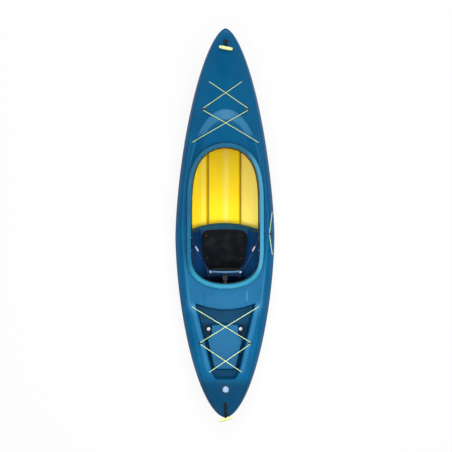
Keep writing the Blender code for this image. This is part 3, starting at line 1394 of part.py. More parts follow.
def make_foot_brace(tree, name, side, hull_holes):
    """Rail bolted inside the hull's side under the foredeck, and a pedal that slides on it."""
    (aft, aft_wall), (fore, fore_wall) = brace_line(tree, side)
    along = (fore - aft).normalized()
    turn = math.atan2(along.y, along.x)
    middle = (aft + fore) / 2
    span = (fore - aft).length
    inward = side
    back = GAP + RAIL_STANDOFF
    rail = place(f"foot_rail_{name}", box("rail", (RAIL_LENGTH, RAIL_THICK, RAIL_HEIGHT),
                 (0, inward * (back + RAIL_THICK / 2), 0)), BLACK, middle, (0, 0, turn))
    shape = bmesh.new()
    for end in (-1, 1):
        frame = Matrix.Translation((end * span / 2, inward * (GAP + (RAIL_STANDOFF + 0.004) / 2), 0))
        frame = frame @ Matrix.Rotation(math.pi / 2, 4, "X")
        bmesh.ops.create_cone(shape, cap_ends=True, segments=12, radius1=0.008, radius2=0.008,
                              depth=RAIL_STANDOFF + 0.004, matrix=frame)
    combine(rail, tool(f"rail_boss_{name}", mesh_of("rail_boss", shape), middle, (0, 0, turn)), "UNION")
    rail_holes = [((end * span / 2, 0, 0), (0, 1, 0), BOLT_R + RUNNING, 0.09) for end in (-1, 1)]
    frame = bpy.data.objects.new(f"rail_frame_{name}", None)
    frame.location = middle
    frame.rotation_euler = (0, 0, turn)
    frame.parent = ORIGIN
    CUTTERS.objects.link(frame)
    drill(rail, f"rail_holes_{name}", rail_holes, parent=frame, sides=10)
    place_of = Matrix.Translation(middle) @ Matrix.Rotation(turn, 4, "Z")
    outward = place_of.to_3x3() @ Vector((0, 1, 0))
    for end_name, end, wall in (("aft", -1, aft_wall), ("fore", 1, fore_wall)):
        inner = back + RAIL_THICK + GAP
        outer = -wall - 0.0015
        profile = dumbbell(BOLT_HEAD_R, BOLT_HEAD, BOLT_R, inner - outer, NUT_R, NUT)
        spot = place_of @ Vector((end * span / 2, inward * (inner + outer) / 2, 0))
        heading = (0, math.pi / 2, turn + inward * math.pi / 2)
        turned(f"rail_bolt_{end_name}_{name}", profile, STEEL, FASTENER_STEPS, spot, heading)
        hull_holes.append((place_of @ Vector((end * span / 2, 0, 0)), outward, BOLT_R + RUNNING, 0.05))

    depth = RAIL_THICK + 2 * SLIDE_GAP + 2 * CARRIAGE_WALL
    centre = inward * (back + RAIL_THICK / 2)
    height = RAIL_HEIGHT + 2 * SLIDE_GAP + 2 * CARRIAGE_WALL
    carriage = box("carriage", (CARRIAGE_LENGTH, depth, height), (0, centre, 0))
    pedal = place(f"foot_pedal_{name}", carriage, BLACK, middle, (0, 0, turn))
    reach_in = inward * (back + RAIL_THICK + SLIDE_GAP + CARRIAGE_WALL / 2)
    corner = 0.014
    half_w, half_h = PEDAL_WIDTH / 2, PEDAL_HEIGHT / 2
    outline = arc((half_w - corner, half_h - corner), corner, 0, 90, 4)
    outline += arc((-half_w + corner, half_h - corner), corner, 90, 180, 4)
    outline += arc((-half_w + corner, -half_h + corner), corner, 180, 270, 4)
    outline += arc((half_w - corner, -half_h + corner), corner, 270, 360, 4)
    face = -CARRIAGE_LENGTH / 2
    mid = reach_in + inward * half_w
    sections = [[(face + x, mid + y, PEDAL_RAISE + z) for y, z in outline] for x in (0, PEDAL_THICK)]
    combine(pedal, tool(f"pedal_plate_{name}", loft("pedal_plate", sections), middle, (0, 0, turn)), "UNION")
    ribs = bmesh.new()
    for step in (-1.5, -0.5, 0.5, 1.5):
        rib = Matrix.Translation((face, mid, PEDAL_RAISE + step * PEDAL_HEIGHT / 5))
        rib = rib @ Matrix.Diagonal((0.006, PEDAL_WIDTH * 0.7, 0.006, 1))
        bmesh.ops.create_cube(ribs, size=1, matrix=rib)
    combine(pedal, tool(f"pedal_ribs_{name}", mesh_of("pedal_ribs", ribs), middle, (0, 0, turn)), "UNION")
    bore = (2 * CARRIAGE_LENGTH, RAIL_THICK + 2 * SLIDE_GAP, RAIL_HEIGHT + 2 * SLIDE_GAP)
    slot = box("carriage_slot", bore, (0, centre, 0))
    combine(pedal, tool(f"carriage_slot_{name}", slot, middle, (0, 0, turn)), "DIFFERENCE")
    print(name, "rail", [round(value, 5) for value in middle], "along", [round(value, 5) for value in along])


def build():
    hull = make_hull()
    deck = make_deck()
    plain_hull = tree_of(hull)
    opening = [tuple(point + normal * (WALL + DECK_CUT)) for point, normal in cockpit_frames(COAMING_STEPS)]
    combine(deck, tool("cockpit_cutter", prism("cockpit_cutter", opening, 0.10, 0.60)), "DIFFERENCE")
    plain_deck = tree_of(deck)

    coaming = make_coaming(plain_deck)
    make_trim()
    skirt_holes = bolt_holes()
    skirt_holes.append(((0, COCKPIT_STERN_Y, rear_bolt()), (0, 1, 0), BOLT_R + RUNNING, 0.03))
    drill(coaming, "skirt_holes", skirt_holes, sides=8)

    make_scuppers(plain_hull, plain_deck)
    bow_ends = BOW_FOAM_Y
    stern_ends = (PAD_END_Y + 0.02, PAD_Y - 0.02)
    foam_block("bow_foam", BOW_FOAM_HALF, bow_ends, 4, plain_hull, plain_deck)
    foam_block("stern_foam", STERN_FOAM_HALF, stern_ends, 3, plain_hull, plain_deck)

    seat_holes = bolt_holes()
    seat_holes.append(((0, HINGE_Y, HINGE_Z), (1, 0, 0), ROD_R + RUNNING, 2 * ROD_HALF))
    seat = make_seat(seat_holes)
    seat_middle = PAD_FRONT_Y - PAD_LENGTH / 2
    seat_ends = (seat_middle - SEAT_FOAM_LENGTH / 2, seat_middle + SEAT_FOAM_LENGTH / 2)
    foam_block("seat_foam", SEAT_FOAM_HALF, seat_ends, 2, plain_hull, tree_of(seat))
    make_seat_cushion()
    make_side_bolts()

    hinge = bpy.data.objects.new("backrest_hinge", None)
    hinge.location = (0, HINGE_Y, HINGE_Z)
    hinge.rotation_euler = (BACK_LEAN, 0, 0)
    hinge.parent = ORIGIN
    PARTS.objects.link(hinge)
    make_backrest(hinge)
    leaned = Matrix.Translation((0, HINGE_Y, HINGE_Z)) @ Matrix.Rotation(BACK_LEAN, 4, "X")
    make_side_straps(leaned)
    make_rear_strap(leaned)

    make_crossed_cords(plain_deck, "bow", BOW_CORD, COCKPIT_BOW_Y, 1)
    make_crossed_cords(plain_deck, "stern", STERN_CORD, COCKPIT_STERN_Y, -1)
    make_paddle_cord(plain_deck)
    make_handle(plain_deck, "bow", BOW_Y - HANDLE_INSET, BOW_Y - HANDLE_INSET - BOW_REACH, False)
    make_handle(plain_deck, "stern", STERN_Y + STERN_HANDLE_INSET, STERN_Y - STERN_CLEAR, True)
    make_drain(plain_deck)

    hull_holes = [((side * SCUPPER_X, SCUPPER_Y, 0), (0, 0, 1), SCUPPER_R, 0.06) for side in (-1, 1)]
    for name, side in (("port", -1), ("starboard", 1)):
        make_foot_brace(plain_hull, name, side, hull_holes)
    drill(hull, "hull_holes", hull_holes, sides=16)

    deck_holes = [((x, y, 0.25), (0, 0, 1), CORD_R + 3 * RUNNING, 0.20) for x, y in cord_holes()]
    drill(deck, "cord_holes", deck_holes, sides=8)
    wide_holes = [((0, STERN_Y + DRAIN_INSET, 0.30), (0, 0, 1), DRAIN_HOLE_R, 0.15)]
    for side in (-1, 1):
        wide_holes.append(((side * SCUPPER_X, SCUPPER_Y, WELL_FLOOR_Z), (0, 0, 1), SCUPPER_R, 0.03))
    drill(deck, "drain_holes", wide_holes, sides=20)

    overhang = STERN_CLEAR + TOGGLE_R
    ORIGIN.location = (0, overhang / 2, 0)


build()
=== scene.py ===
# Ten foot sit-in kayak seen from above: moulded shells, padded seat, webbing, deck cords and fittings.
# Lengths are in metres. Shapes are worked out in the hull's own frame, whose y is 0 halfway between the
# tips, and moved by hullForm["shift"] into the frame of the whole model when their mesh is made.
import math

import bmesh
import bpy
import numpy as np
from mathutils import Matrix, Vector
from mathutils.bvhtree import BVHTree


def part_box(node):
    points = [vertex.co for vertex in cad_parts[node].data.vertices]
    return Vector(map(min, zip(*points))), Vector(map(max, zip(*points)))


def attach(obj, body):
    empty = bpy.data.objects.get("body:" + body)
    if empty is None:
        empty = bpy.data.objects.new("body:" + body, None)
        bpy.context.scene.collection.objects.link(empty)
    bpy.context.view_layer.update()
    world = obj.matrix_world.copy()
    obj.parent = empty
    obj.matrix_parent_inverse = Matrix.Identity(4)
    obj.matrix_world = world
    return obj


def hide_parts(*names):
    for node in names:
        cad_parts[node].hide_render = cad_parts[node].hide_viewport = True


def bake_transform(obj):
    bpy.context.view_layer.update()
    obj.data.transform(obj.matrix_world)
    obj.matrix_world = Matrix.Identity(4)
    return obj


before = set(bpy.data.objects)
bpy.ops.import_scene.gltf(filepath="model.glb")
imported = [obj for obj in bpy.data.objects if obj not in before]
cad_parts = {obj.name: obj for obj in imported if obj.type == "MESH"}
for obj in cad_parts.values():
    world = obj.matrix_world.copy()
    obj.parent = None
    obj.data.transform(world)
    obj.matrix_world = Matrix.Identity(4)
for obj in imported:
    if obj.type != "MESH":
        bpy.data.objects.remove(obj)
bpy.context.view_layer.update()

print("stage: frame loaded,", len(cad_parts), "nodes")

hullForm = {
    "length": 3.048,          # stem to stern
    "beam": 0.781,
    "widest": -0.108,         # y of the greatest beam
    "shift": 0.0135,          # half of what the stern grip reaches beyond the stern
    "seamMid": 0.185,         # height of the seam between hull and deck, amidships and at both tips
    "seamBow": 0.315,
    "seamStern": 0.285,
    "flatBow": 0.55,          # the bottom is level between these two
    "flatStern": -0.75,
    "strip": 0.006,           # upright strip on each side of the seam
    "seamGap": 0.00015,       # half of the gap between the two shells
    "wall": 0.004,
    "keelHalf": 0.115,        # half width of the flat middle panel
    "narrowFrom": 0.30,       # half breadth below which the panel narrows
    "grooveWidth": 0.028,
    "grooveDepth": 0.016,
    "skegHalf": 0.016,
    "skegLength": 0.35,
    "skegInset": 0.125,
    "skegClear": 0.012,
}
shiftBy = np.array([0, hullForm["shift"], 0])
bowY = hullForm["length"] / 2
sternY = -bowY
bothSides = (("port", -1), ("starboard", 1))


# Number helpers. All of them take whole arrays.
def clip01(value):
    return np.clip(value, 0.0, 1.0)


def ease(value):
    value = clip01(value)
    return value * value * (3 - 2 * value)


def within(value, low, high, rise, fall):
    # 1 between two limits, eased up from 0 over "rise" after the first and down over "fall" before the second
    return ease((value - low) / rise) * ease((high - value) / fall)


def mix(first, second, share):
    return first + (second - first) * share


def softMin(first, second, radius):
    # the smaller of two distances, with their corner rounded by a radius
    gap = clip01(0.5 + 0.5 * (second - first) / radius)
    return mix(second, first, gap) - radius * gap * (1 - gap)


def ramp(value, fillet=0.2):
    # straight slope from 0 to 1 with both of its corners rounded
    value = clip01(value)
    low, high = value ** 2 / (2 * fillet), (1 - value) ** 2 / (2 * fillet)
    middle = np.where(value > 1 - fillet, 1 - fillet - high, value - fillet / 2)
    return np.where(value < fillet, low, middle) / (1 - fillet)


def spaced(marks, counts):
    # marks joined by evenly spaced values; counts says how many steps each stretch has
    runs = [np.linspace(a, b, n, endpoint=False) for a, b, n in zip(marks, marks[1:], counts)]
    return np.concatenate(runs + [[marks[-1]]])


def runOf(line):
    # distance along a line of points from its start
    return np.concatenate([[0], np.cumsum(np.linalg.norm(np.diff(line, axis=0), axis=1))])


def unit(lines):
    return lines / np.maximum(np.linalg.norm(lines, axis=-1, keepdims=True), 1e-12)


def evenly(rows, run, count):
    # rows of numbers known along a run, read again at even steps of it
    wanted = np.linspace(0, run[-1], count, endpoint=False)
    return np.stack([np.interp(wanted, run, column) for column in rows.T], -1)


def fallAway(share):
    # how far a quarter circle of radius 1 has left its tangent
    return 1 - np.sqrt(1 - share ** 2)


def stacked(*rows):
    return np.stack(np.broadcast_arrays(*rows), -1)


def turns(count):
    return np.linspace(0, 2 * np.pi, count, endpoint=False)


def edgeShares(count):
    # from -1 to 1, closer together towards both ends
    return np.sin(np.linspace(-np.pi / 2, np.pi / 2, count))


def oval(turn, wide, high=None, squareX=1, squareY=1):
    # points of a circle, an ellipse or, with powers below 1, a squarer shape
    cos, sin = np.cos(turn), np.sin(turn)
    return np.column_stack([wide * np.sign(cos) * np.abs(cos) ** squareX,
                            (wide if high is None else high) * np.sign(sin) * np.abs(sin) ** squareY])


def throughPoints(points, steps):
    # smooth line through a few points (an even cubic spline), steps to each stretch; points may be stacks
    points = np.asarray(points, float)
    ends = np.concatenate([[2 * points[0] - points[1]], points, [2 * points[-1] - points[-2]]])
    share = np.linspace(0, 1, steps, endpoint=False)
    share = share.reshape(-1, *[1] * (points.ndim - 1))
    runs = []
    for i in range(len(points) - 1):
        a, b, c, d = ends[i:i + 4]
        bend = (2 * a - 5 * b + 4 * c - d) * share ** 2 + (3 * b - a - 3 * c + d) * share ** 3
        runs.append(0.5 * (2 * b + (c - a) * share + bend))
    return np.concatenate(runs + [points[-1:]])


# The hull's lines, the same formulas that the solid model is drawn with.
def reach(y):
    # share of the way from the widest station to the tip
    tip = np.where(y > hullForm["widest"], bowY, sternY)
    return clip01((y - hullForm["widest"]) / (tip - hullForm["widest"]))


def halfBreadth(y):
    # half the beam: beam / 2 (1 - t^p)^q
    ahead = y > hullForm["widest"]
    power, root = np.where(ahead, 1.585, 1.687), np.where(ahead, 0.60, 0.55)
    return hullForm["beam"] / 2 * (1 - reach(y) ** power) ** root


def seamHeight(y):
    tip = np.where(y > hullForm["widest"], hullForm["seamBow"], hullForm["seamStern"])
    return mix(hullForm["seamMid"], tip, reach(y) ** 2.2)


def fullness(y):
    return np.sqrt(1 - reach(y) ** 4)


def keelHeight(y):
    # level amidships, then rising as 1 - sqrt(1 - s^3) of the height up to each tip
    flat = np.where(y > 0, hullForm["flatBow"], hullForm["flatStern"])
    tip = np.where(y > 0, bowY, sternY)
    top = np.where(y > 0, hullForm["seamBow"], hullForm["seamStern"])
    share = clip01((y - flat) / (tip - flat))
    return (top - hullForm["strip"]) * (1 - np.sqrt(1 - share ** 3))


def panelScale(y):
    # how much of their width amidships the bottom's flat panel and its grooves have
    return np.minimum(1.0, halfBreadth(y) / hullForm["narrowFrom"])


def bottomHeight(x, y):
    # z = keel + depth (1 - (1 - s^n)^(1/m)), s across from the flat panel to the seam
    half = halfBreadth(y)
    flat = hullForm["keelHalf"] * panelScale(y)
    across = clip01((np.abs(x) - flat) / np.maximum(half - flat, 1e-6))
    bulge, side = 1.4 + 0.8 * fullness(y), 1.6 + 0.4 * fullness(y)
    rise = 1 - (1 - across ** bulge) ** (1 / side)
    return mix(keelHeight(y), seamHeight(y) - hullForm["strip"], rise)


deckForm = {
    "sideRise": 0.055,        # height of the slanted panel along each side
    "crown": 0.030,           # and of the camber between them
    "sideBow": 0.13,          # share of the half breadth that the panel takes, forward and aft
    "sideStern": 0.19,
    "hoodRise": 0.045,        # raised deck round the front of the cockpit
    "hoodHalf": 0.30,
    "hoodReach": 0.65,
    "hoodY": 0.25,
    "podRise": 0.008,         # low block behind the seat
    "podHalf": 0.165,
}
wellForm = {
    "inset": 0.145,           # behind the cockpit opening
    "length": 0.602,
    "frontHalf": 0.24,
    "rearHalf": 0.108,
    "endHalf": 0.077,
    "endLength": 0.054,
    "floorZ": 0.174,
    "wallRun": 0.016,
    "scallop": 0.050,         # how far the middle of its front edge lies aft of the corners
    "corner": 0.012,
    "padInset": 0.173,
    "padRise": 0.024,
    "padRun": 0.011,
    "padFrontHalf": 0.102,
    "padWideHalf": 0.135,
    "padRearHalf": 0.087,
    "padWidest": 0.126,
    "padFlare": 0.038,
    "padRearInset": 0.076,
    "scupperX": 0.126,
    "scupperInset": 0.212,
    "scupperRadius": 0.015,
    "dishDepth": 0.008,       # hollow of the floor round each scupper
    "dishRadius": 0.043,
}
rimForm = {
    "half": 0.268,            # of the cockpit opening
    "middle": -0.05,
    "front": 0.642,
    "rear": 0.430,
    "frontPower": 4.6,
    "rearPower": 5.7,
    "width": 0.038,
    "skirt": 0.042,
    "lean": 0.006,
    "deckCut": 0.0035,
    "steps": 264,
}
openBow = rimForm["middle"] + rimForm["front"]
openStern = rimForm["middle"] - rimForm["rear"]
wellY = openStern - wellForm["inset"]
wellEndY = wellY - wellForm["length"]
padY = wellY - wellForm["padInset"]
padEndY = wellEndY + wellForm["padRearInset"]
scupperY = wellY - wellForm["scupperInset"]


def wellHalf(y):
    straight = wellForm["length"] - wellForm["endLength"]
    side = mix(wellForm["frontHalf"], wellForm["rearHalf"], clip01((wellY - y) / straight))
    end = mix(wellForm["rearHalf"], wellForm["endHalf"],
              clip01((wellY - straight - y) / wellForm["endLength"]))
    return np.where(y > wellY - straight, side, end)


def padHalf(y):
    wide = padY - wellForm["padWidest"]
    ahead = ease((wide + wellForm["padFlare"] - y) / wellForm["padFlare"])
    front = mix(wellForm["padFrontHalf"], wellForm["padWideHalf"], ahead)
    rear = mix(wellForm["padWideHalf"], wellForm["padRearHalf"], clip01((wide - y) / (wide - padEndY)))
    return np.minimum(np.where(y > wide, front, rear), wellHalf(y) - 0.036)


def sideShare(y):
    return mix(deckForm["sideBow"], deckForm["sideStern"], ease((0.1 - y) / 0.7))


def hoodShares(x, y):
    # how far forward on the hood, and how far inside its outline, which is half an ellipse
    forward = np.maximum(0.0, (y - deckForm["hoodY"]) / deckForm["hoodReach"])
    return forward, 1 - np.hypot(x / deckForm["hoodHalf"], forward)


def plainDeck(x, y):
    # seam height, slanted side panel, camber, the hood's half ellipse and the pod
    half = np.maximum(halfBreadth(y), 1e-6)
    up = clip01((half - np.abs(x)) / (sideShare(y) * half))
    side = deckForm["sideRise"] * (1 - (1 - up) ** 1.8)
    crown = deckForm["crown"] * (1 - (x / half) ** 2)
    forward, inside = hoodShares(x, y)
    crisp = ease((forward - 0.45) / 0.3)
    hood = deckForm["hoodRise"] * mix(ease(inside / 0.26), ramp(inside / 0.18), crisp)
    hood = hood * ease((y + 0.40) / 0.75)
    pod = deckForm["podRise"] * ease((deckForm["podHalf"] + 0.01 - np.abs(x)) / 0.02)
    pod = pod * within(y, wellY - 0.10, openStern - 0.045, 0.05, 0.02)
    return seamHeight(y) + hullForm["strip"] + fullness(y) * (side + crown) + hood + pod


def wellShares(x, y):
    # from 0 to 1: how far down the tank well is, how far up its raised floor, and how deep the scupper's dish
    scallop = wellForm["scallop"] * clip01(1 - (x / np.maximum(wellHalf(y), 0.05)) ** 2)
    side = (wellHalf(y) - np.abs(x)) * 0.97
    ends = softMin((wellY - scallop - y) * 0.96, y - wellEndY, 0.01)
    inside = softMin(side, ends, wellForm["corner"])
    sunk = ramp(inside / wellForm["wallRun"], 0.3)
    padSide = padHalf(y) + wellForm["padRun"] - np.abs(x)
    padInside = softMin(padSide, np.minimum(padY + 0.006 - y, y - padEndY + 0.006), 0.02)
    raised = ramp(padInside / wellForm["padRun"], 0.3)
    around = np.hypot((np.abs(x) - wellForm["scupperX"]) / 0.8, y - scupperY) / wellForm["dishRadius"]
    return sunk, raised, ease(1.25 - around) * (1 - raised)


def deckSurface(x, y):
    sunk, raised, dish = wellShares(x, y)
    floor = wellForm["floorZ"] + wellForm["padRise"] * raised - wellForm["dishDepth"] * dish
    return mix(plainDeck(x, y), floor, sunk)


# Meshes. Points are worked out as arrays and put in at once.
def filledMesh(name, points, sizes, corners, uv, angle, looks=None):
    # a mesh put together from whole arrays; uv holds one pair for each corner
    mesh = bpy.data.meshes.new(name)
    mesh.vertices.add(len(points))
    mesh.vertices.foreach_set("co", points.astype(np.float32).ravel())
    mesh.loops.add(len(corners))
    mesh.loops.foreach_set("vertex_index", corners.astype(np.int32))
    mesh.polygons.add(len(sizes))
    mesh.polygons.foreach_set("loop_start", np.concatenate([[0], np.cumsum(sizes)[:-1]]).astype(np.int32))
    if looks is not None:
        mesh.polygons.foreach_set("material_index", looks)
    mesh.update(calc_edges=True)
    if uv is not None:
        mesh.uv_layers.new(name="surface").data.foreach_set("uv", uv.astype(np.float32).ravel())
    smoothShade(mesh, angle)
    return mesh


def readOut(items, key, width=1, kind=np.int32):
    # one value of every item, or a row of them, as an array
    values = np.empty(len(items) * width, kind)
    items.foreach_get(key, values)
    return values.reshape(-1, width) if width > 1 else values


def meshOf(name, points, faces, uv=None, angle=35):
    # a shape in the hull's frame; faces is a list of arrays of corner numbers, uv holds a pair for each point
    sizes = np.concatenate([np.full(len(f), f.shape[1]) for f in faces])
    corners = np.concatenate([f.ravel() for f in faces])
    if uv is not None:
        uv = np.asarray(uv, float).reshape(-1, 2)[corners]
    return filledMesh(name, np.array(points, float).reshape(-1, 3) + shiftBy, sizes, corners, uv, angle)


def smoothShade(mesh, angle):
    mesh.shade_smooth()
    mesh.set_sharp_from_angle(angle=math.radians(angle))


def gridFaces(rows, cols, wrapRows=False, wrapCols=False, flip=False, first=0):
    index = np.arange(rows * cols).reshape(rows, cols) + first
    if wrapRows:
        index = np.vstack([index, index[:1]])
    if wrapCols:
        index = np.hstack([index, index[:, :1]])
    faces = np.stack([index[:-1, :-1], index[:-1, 1:], index[1:, 1:], index[1:, :-1]], -1).reshape(-1, 4)
    return faces[:, ::-1] if flip else faces


def gridMesh(name, grid, uv=None, angle=35, **way):
    return meshOf(name, grid, [gridFaces(*grid.shape[:2], **way)], uv=uv, angle=angle)


def newPiece(name, mesh, *looks):
    piece = bpy.data.objects.new(name, mesh)
    bpy.context.scene.collection.objects.link(piece)
    for look in looks:
        mesh.materials.append(look)
    return piece


def healed(mesh, distance=1e-6, closed=True):
    # points that coincide are merged; a closed shape's faces are turned outwards
    shape = bmesh.new()
    shape.from_mesh(mesh)
    bmesh.ops.remove_doubles(shape, verts=shape.verts, dist=distance)
    if closed:
        bmesh.ops.dissolve_degenerate(shape, edges=shape.edges, dist=distance)
        bmesh.ops.recalc_face_normals(shape, faces=shape.faces)
    shape.to_mesh(mesh)
    shape.free()
    return mesh


def settled(piece, angle=35):
    # the piece with its modifiers worked into its mesh
    bpy.context.view_layer.update()
    done = bpy.data.meshes.new_from_object(piece.evaluated_get(bpy.context.evaluated_depsgraph_get()))
    piece.modifiers.clear()
    old = piece.data
    piece.data = done
    done.name = old.name
    bpy.data.meshes.remove(old)
    smoothShade(done, angle)
    return piece


def bareMesh(piece, angle=35):
    # the mesh of a helper piece with its modifiers worked in; the helper goes
    mesh = settled(piece, angle).data
    bpy.data.objects.remove(piece)
    return mesh


def bevelled(piece, width, degrees):
    edges = piece.modifiers.new("edges", "BEVEL")
    edges.width, edges.segments = width, 2
    edges.limit_method, edges.angle_limit = "ANGLE", math.radians(degrees)


def carried(piece, body, slotName, *nodes):
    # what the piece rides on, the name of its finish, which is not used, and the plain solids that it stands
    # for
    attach(piece, body)
    if nodes:
        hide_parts(*nodes)
    return piece


def walled(piece, thickness, inner=0, rim=0):
    shell = piece.modifiers.new("wall", "SOLIDIFY")
    shell.thickness = thickness
    shell.offset = -1
    shell.material_offset = inner
    shell.material_offset_rim = rim


def cutAway(piece, cutters):
    # takes closed shapes out of a piece, then removes them
    for cutter in cutters:
        change = piece.modifiers.new(cutter.name, "BOOLEAN")
        change.operation = "DIFFERENCE"
        change.object = cutter
        change.solver = "EXACT"
    settled(piece)
    for cutter in cutters:
        bpy.data.objects.remove(cutter)
    return piece


def scupperCutters(low, high):
    rings = [circle(side * wellForm["scupperX"], scupperY, wellForm["scupperRadius"]) for side in (-1, 1)]
    return [uprightPrism("scupperHole", ring, low, high) for ring in rings]


def uprightPrism(name, outline, low, high):
    # closed shape between two heights over an outline of (x, y) points
    outline = np.asarray(outline, float)
    count = len(outline)
    level = np.stack([np.column_stack([outline, np.full(count, z)]) for z in (low, high)])
    caps = np.stack([np.arange(count)[::-1], np.arange(count) + count])
    mesh = meshOf(name, level, [gridFaces(2, count, wrapCols=True), caps])
    return newPiece(name, healed(mesh))


def circle(x, y, radius):
    return oval(turns(48), radius) + (x, y)


# Looks. Small helpers for node trees, then the effects that several finishes share, then the finishes.
def setInput(tree, node, key, value):
    if isinstance(value, bpy.types.NodeSocket):
        tree.links.new(value, node.inputs[key])
    else:
        node.inputs[key].default_value = value


def addNode(tree, kind, inputs=None, **settings):
    node = tree.nodes.new("ShaderNode" + kind)
    for key, value in settings.items():
        setattr(node, key, value)
    for key, value in (inputs or {}).items():
        setInput(tree, node, key, value)
    return node


def addMath(tree, operation, first, second=0.0, clamp=False):
    return addNode(tree, "Math", {0: first, 1: second}, operation=operation, use_clamp=clamp).outputs[0]


def addRange(tree, value, low, high, toLow=0.0, toHigh=1.0):
    node = addNode(tree, "MapRange", {0: value, 1: low, 2: high, 3: toLow, 4: toHigh})
    node.interpolation_type = "SMOOTHSTEP"
    return node.outputs[0]


def addMix(tree, share, first, second):
    node = addNode(tree, "Mix", {0: share, 6: first, 7: second}, data_type="RGBA")
    return node.outputs[2]


def addNoise(tree, spot, scale, detail):
    return addNode(tree, "TexNoise", {"Vector": spot, "Scale": scale, "Detail": detail}).outputs[0]


def product(tree, first, *others, clamp=False):
    # values multiplied one after the other; the last step may be kept between 0 and 1
    for index, other in enumerate(others):
        first = addMath(tree, "MULTIPLY", first, other, clamp and index == len(others) - 1)
    return first


def groupOf(name, build, **inputs):
    # a node group read at coordinates; "build" takes it with its inputs and returns its outputs by name
    group = bpy.data.node_groups.new(name, "ShaderNodeTree")
    group.interface.new_socket("Coordinates", in_out="INPUT", socket_type="NodeSocketVector")
    for label, value in inputs.items():
        group.interface.new_socket(label, in_out="INPUT", socket_type="NodeSocketFloat").default_value = value
    given = group.nodes.new("NodeGroupInput").outputs
    results = build(group, given)
    for label in results:
        group.interface.new_socket(label, in_out="OUTPUT", socket_type="NodeSocketFloat")
    leave = group.nodes.new("NodeGroupOutput")
    for label, socket in results.items():
        group.links.new(socket, leave.inputs[label])
    return group


def useGroup(tree, group, spot, **inputs):
    node = addNode(tree, "Group", node_tree=group)
    for key, value in {"Coordinates": spot, **inputs}.items():
        setInput(tree, node, key, value)
    return node.outputs


def grain(group, given):
    # skin of moulded plastic: a fine grain on a slow orange peel, and broad cloudy patches
    spot = given["Coordinates"]
    fine = addNoise(group, spot, given["Grain"], 2.0)
    peel = addNoise(group, spot, product(group, given["Grain"], 0.09), 1.0)
    cloud = addNoise(group, spot, given["Patches"], 4.0)
    both = addMath(group, "MULTIPLY_ADD", peel, 1.6)
    group.links.new(fine, both.node.inputs[2])
    return {"Height": both, "Cloud": addRange(group, cloud, 0.32, 0.68)}


def scuffs(group, given):
    # long fine scratches that run fore and aft, gathered in patches
    spot, across = given["Coordinates"], given["Across"]
    stretch = addNode(group, "CombineXYZ", {"X": across, "Y": given["Along"], "Z": across})
    scaled = addNode(group, "VectorMath", {0: spot, 1: stretch.outputs[0]}, operation="MULTIPLY")
    thin = addRange(group, addNoise(group, scaled.outputs[0], 1.0, 3.0), 0.60, 0.72)
    where = addRange(group, addNoise(group, spot, 9.0, 3.0), 0.50, 0.70)
    return {"Mask": product(group, thin, where, given["Amount"], clamp=True)}


def edgeWear(group, given):
    # corners that stand proud, broken up by a noise
    proud = addNode(group, "NewGeometry").outputs["Pointiness"]
    high = addMath(group, "ADD", given["Sharpness"], 0.10)
    edge = addNode(group, "MapRange", {0: proud, 1: given["Sharpness"], 2: high}).outputs[0]
    noise = addRange(group, addNoise(group, given["Coordinates"], 70.0, 4.0), 0.38, 0.62)
    return {"Mask": product(group, edge, noise, given["Amount"], clamp=True)}


def dust(group, given):
    # fine dust on what faces up, thicker in patches
    facing = addNode(group, "NewGeometry").outputs["Normal"]
    up = addNode(group, "SeparateXYZ", {0: facing}).outputs["Z"]
    noise = addRange(group, addNoise(group, given["Coordinates"], 14.0, 6.0), 0.4, 0.75)
    return {"Mask": product(group, addRange(group, up, 0.75, 1.0), noise, given["Amount"], clamp=True)}


def wave(tree, value):
    # humps of a rectified sine, one to each whole step of the value
    return addMath(tree, "ABSOLUTE", addMath(tree, "SINE", product(tree, value, math.pi)))


def weave(group, given):
    # plain weave: threads that pass over and under, as two rows of humps switched by a checker
    spot = addNode(group, "VectorMath", {0: given["Coordinates"], 3: given["Threads"]},
                   operation="SCALE").outputs[0]
    across, along = addNode(group, "SeparateXYZ", {0: spot}).outputs[:2]
    squares = {"Vector": spot, "Color1": (1, 1, 1, 1), "Color2": (0, 0, 0, 1), "Scale": 1.0}
    over = addNode(group, "TexChecker", squares).outputs["Fac"]
    warp = product(group, wave(group, across), over)
    weft = product(group, wave(group, along), addMath(group, "SUBTRACT", 1.0, over))
    return {"Height": addMath(group, "ADD", warp, weft), "Warp": over}


def braid(group, given):
    # braided or ribbed yarn on a piece's own map: strands that lean both ways across its width
    sides = addNode(group, "SeparateXYZ", {0: given["Coordinates"]}).outputs
    around, along = product(group, sides[0], given["Around"]), product(group, sides[1], given["Along"])
    strands = [wave(group, addMath(group, way, around, along)) for way in ("ADD", "SUBTRACT")]
    return {"Height": addMath(group, "MAXIMUM", *strands)}


grainGroup = groupOf("mouldedGrain", grain, Grain=900.0, Patches=5.0)
scuffGroup = groupOf("scuffMarks", scuffs, Across=260.0, Along=7.0, Amount=0.4)
wearGroup = groupOf("edgeWear", edgeWear, Sharpness=0.56, Amount=0.5)
dustGroup = groupOf("settledDust", dust, Amount=0.15)
weaveGroup = groupOf("plainWeave", weave, Threads=900.0)
braidGroup = groupOf("leaningStrands", braid, Around=8.0, Along=1.0)


def rgb(red, green, blue):
    # a colour given as it looks on the screen, 0 to 255
    value = np.array([red, green, blue]) / 255.0
    linear = np.where(value <= 0.04045, value / 12.92, ((value + 0.055) / 1.055) ** 2.4)
    return (*linear.tolist(), 1.0)


def startLook(name):
    look = bpy.data.materials.new(name)
    look.use_nodes = True
    tree = look.node_tree
    tree.nodes.clear()
    shader = addNode(tree, "BsdfPrincipled")
    addNode(tree, "OutputMaterial", {"Surface": shader.outputs[0]})
    place = addNode(tree, "TexCoord")
    return look, tree, shader, place


